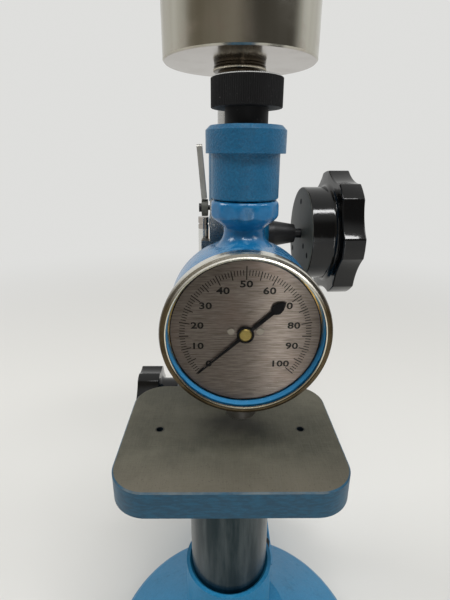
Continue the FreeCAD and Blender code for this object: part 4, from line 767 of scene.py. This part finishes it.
# A dark ring round the plate's edge: painted shadow in the gap by the cup's wall.
colour = blend(rise(length_of(x, z - case_z), 0.0355, 0.0360), colour, (0.008, 0.010, 0.012, 1))
end(dial_silver, {"Base Color": colour, "Metallic": 1.0,
                  "Roughness": 0.22 + brush * 0.12 + fine * 0.08,
                  "Anisotropic": 1.0, "Anisotropic Rotation": 0.25,
                  "Normal": bump(brush * 0.5 + fine * 0.5, 0.00001)})
coat(dial_silver, "dial_plate")
coat(turned_steel("screw_steel", (0.10, 0.09, 0.075, 1), (0.20, 0.18, 0.15, 1), gloss=0.30),
     "dial_screws")

print_black, at = begin("print_black")
ink = noise(at, 1500.0, 2.0)
end(print_black, {"Base Color": blend(ink, (0.003, 0.003, 0.003, 1), (0.009, 0.008, 0.007, 1)),
                  "Roughness": 0.55 + ink * 0.15, "Specular IOR Level": 0.12})
print_y = dial_front - 0.00003


def scale_turn(value):
    """Angle of a scale value: 0 is at 222 degrees from +X, and a point is 2.64 degrees on."""
    return np.radians(222.0 - 2.64 * value)


def printed(name, spots, faces):
    """A flat black print lying just in front of the dial plate."""
    mesh = bpy.data.meshes.new(name)
    mesh.from_pydata([tuple(p) for p in spots], [], [tuple(f) for f in faces])
    mesh.materials.append(print_black)
    piece = bpy.data.objects.new(name, mesh)
    bpy.context.scene.collection.objects.link(piece)
    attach(piece, "carriage")


# One tick a point, longer at the fives and tens and longest at 50.
value = np.arange(101)
turn = scale_turn(value)
tens = value % 10 == 0
fives = value % 5 == 0
inner = np.where(tens, 0.0269, np.where(fives, 0.0272, 0.0289))
outer = np.where(tens, 0.0320, np.where(fives, 0.0317, 0.0315))
outer = np.where(value == 50, 0.0334, outer)
half = np.where(fives, 0.00024, 0.00019)
outward = np.stack([np.cos(turn), np.sin(turn)], 1)
across = np.stack([-np.sin(turn), np.cos(turn)], 1) * half[:, None]
ends = [outward * inner[:, None], outward * outer[:, None]]
corners = np.stack([ends[0] - across, ends[1] - across, ends[1] + across, ends[0] + across], 1)
corners = corners.reshape(-1, 2)
tick_spots = np.stack([corners[:, 0], np.full(len(corners), print_y), corners[:, 1] + case_z], 1)
printed("dial_ticks", tick_spots, np.arange(len(corners)).reshape(-1, 4))

# The numbers are drawn broader than the font, each centred on its own box.
broad = 1.32
number_spots = []
number_faces = []
for value in range(0, 101, 10):
    curve = bpy.data.curves.new("number", "FONT")
    curve.body = str(value)
    curve.size = 0.0045
    curve.offset = 0.00014
    curve.align_x = "CENTER"
    curve.align_y = "CENTER"
    curve.space_character = 1.05
    curve.resolution_u = 3
    writer = bpy.data.objects.new("number", curve)
    bpy.context.scene.collection.objects.link(writer)
    flat = bpy.data.meshes.new_from_object(writer)
    shape = np.array([v.co for v in flat.vertices])[:, :2]
    shape -= (shape.min(0) + shape.max(0)) / 2
    turn = float(scale_turn(value))
    reach = 0.0249 - 0.0016 * abs(math.cos(turn))
    start = len(number_spots)
    spots = np.full((len(shape), 3), print_y)
    spots[:, 0] = reach * math.cos(turn) + shape[:, 0] * broad
    spots[:, 2] = case_z + reach * math.sin(turn) + shape[:, 1]
    number_spots += spots.tolist()
    number_faces += [[start + i for i in polygon.vertices] for polygon in flat.polygons]
    bpy.data.objects.remove(writer)
    bpy.data.meshes.remove(flat)
    bpy.data.curves.remove(curve)
printed("dial_numbers", number_spots, number_faces)


# Pointer and movement
# Matt black steel hand with a spade tail, on a dull brass bush; turned brass
# plates and wheel behind the dial.

hand_black, at = begin("hand_black")
end(hand_black, {"Base Color": (0.0025, 0.0025, 0.003, 1),
                 "Roughness": 0.5 + noise(at, 600.0) * 0.2, "Specular IOR Level": 0.12})
coat(hand_black, "pointer")

brass, at = begin("turned_brass")
rings = noise(stretched(at, 1.0, 20.0, 1.0), 260.0, 3.0)
patina = noise(at, 320.0, 5.0, 0.65)
colour = blend(rise(patina, 0.4, 0.7), (0.50, 0.35, 0.12, 1), (0.30, 0.21, 0.08, 1))
end(brass, {"Base Color": colour, "Metallic": 1.0, "Roughness": 0.24 + patina * 0.2,
            "Normal": bump(rings, 0.00003)})
coat(brass, "arbor_wheel", "movement_front_plate", "movement_rear_plate", "spring_seat",
     "lock_pad")
coat(turned_steel("dull_brass", (0.110, 0.085, 0.028, 1), (0.210, 0.160, 0.052, 1),
                  gloss=0.34, streak=(20.0, 1.0, 20.0)), "pointer_bush", "pointer_staff")


# Release lever
# Plain steel strip, dull from handling; its black hub and its screw have the
# knobs' and the bolts' finishes.

coat(turned_steel("lever_steel", (0.40, 0.39, 0.36, 1), (0.55, 0.54, 0.50, 1),
                  gloss=0.38, streak=(1.0, 1.0, 1.0)), "release_lever")
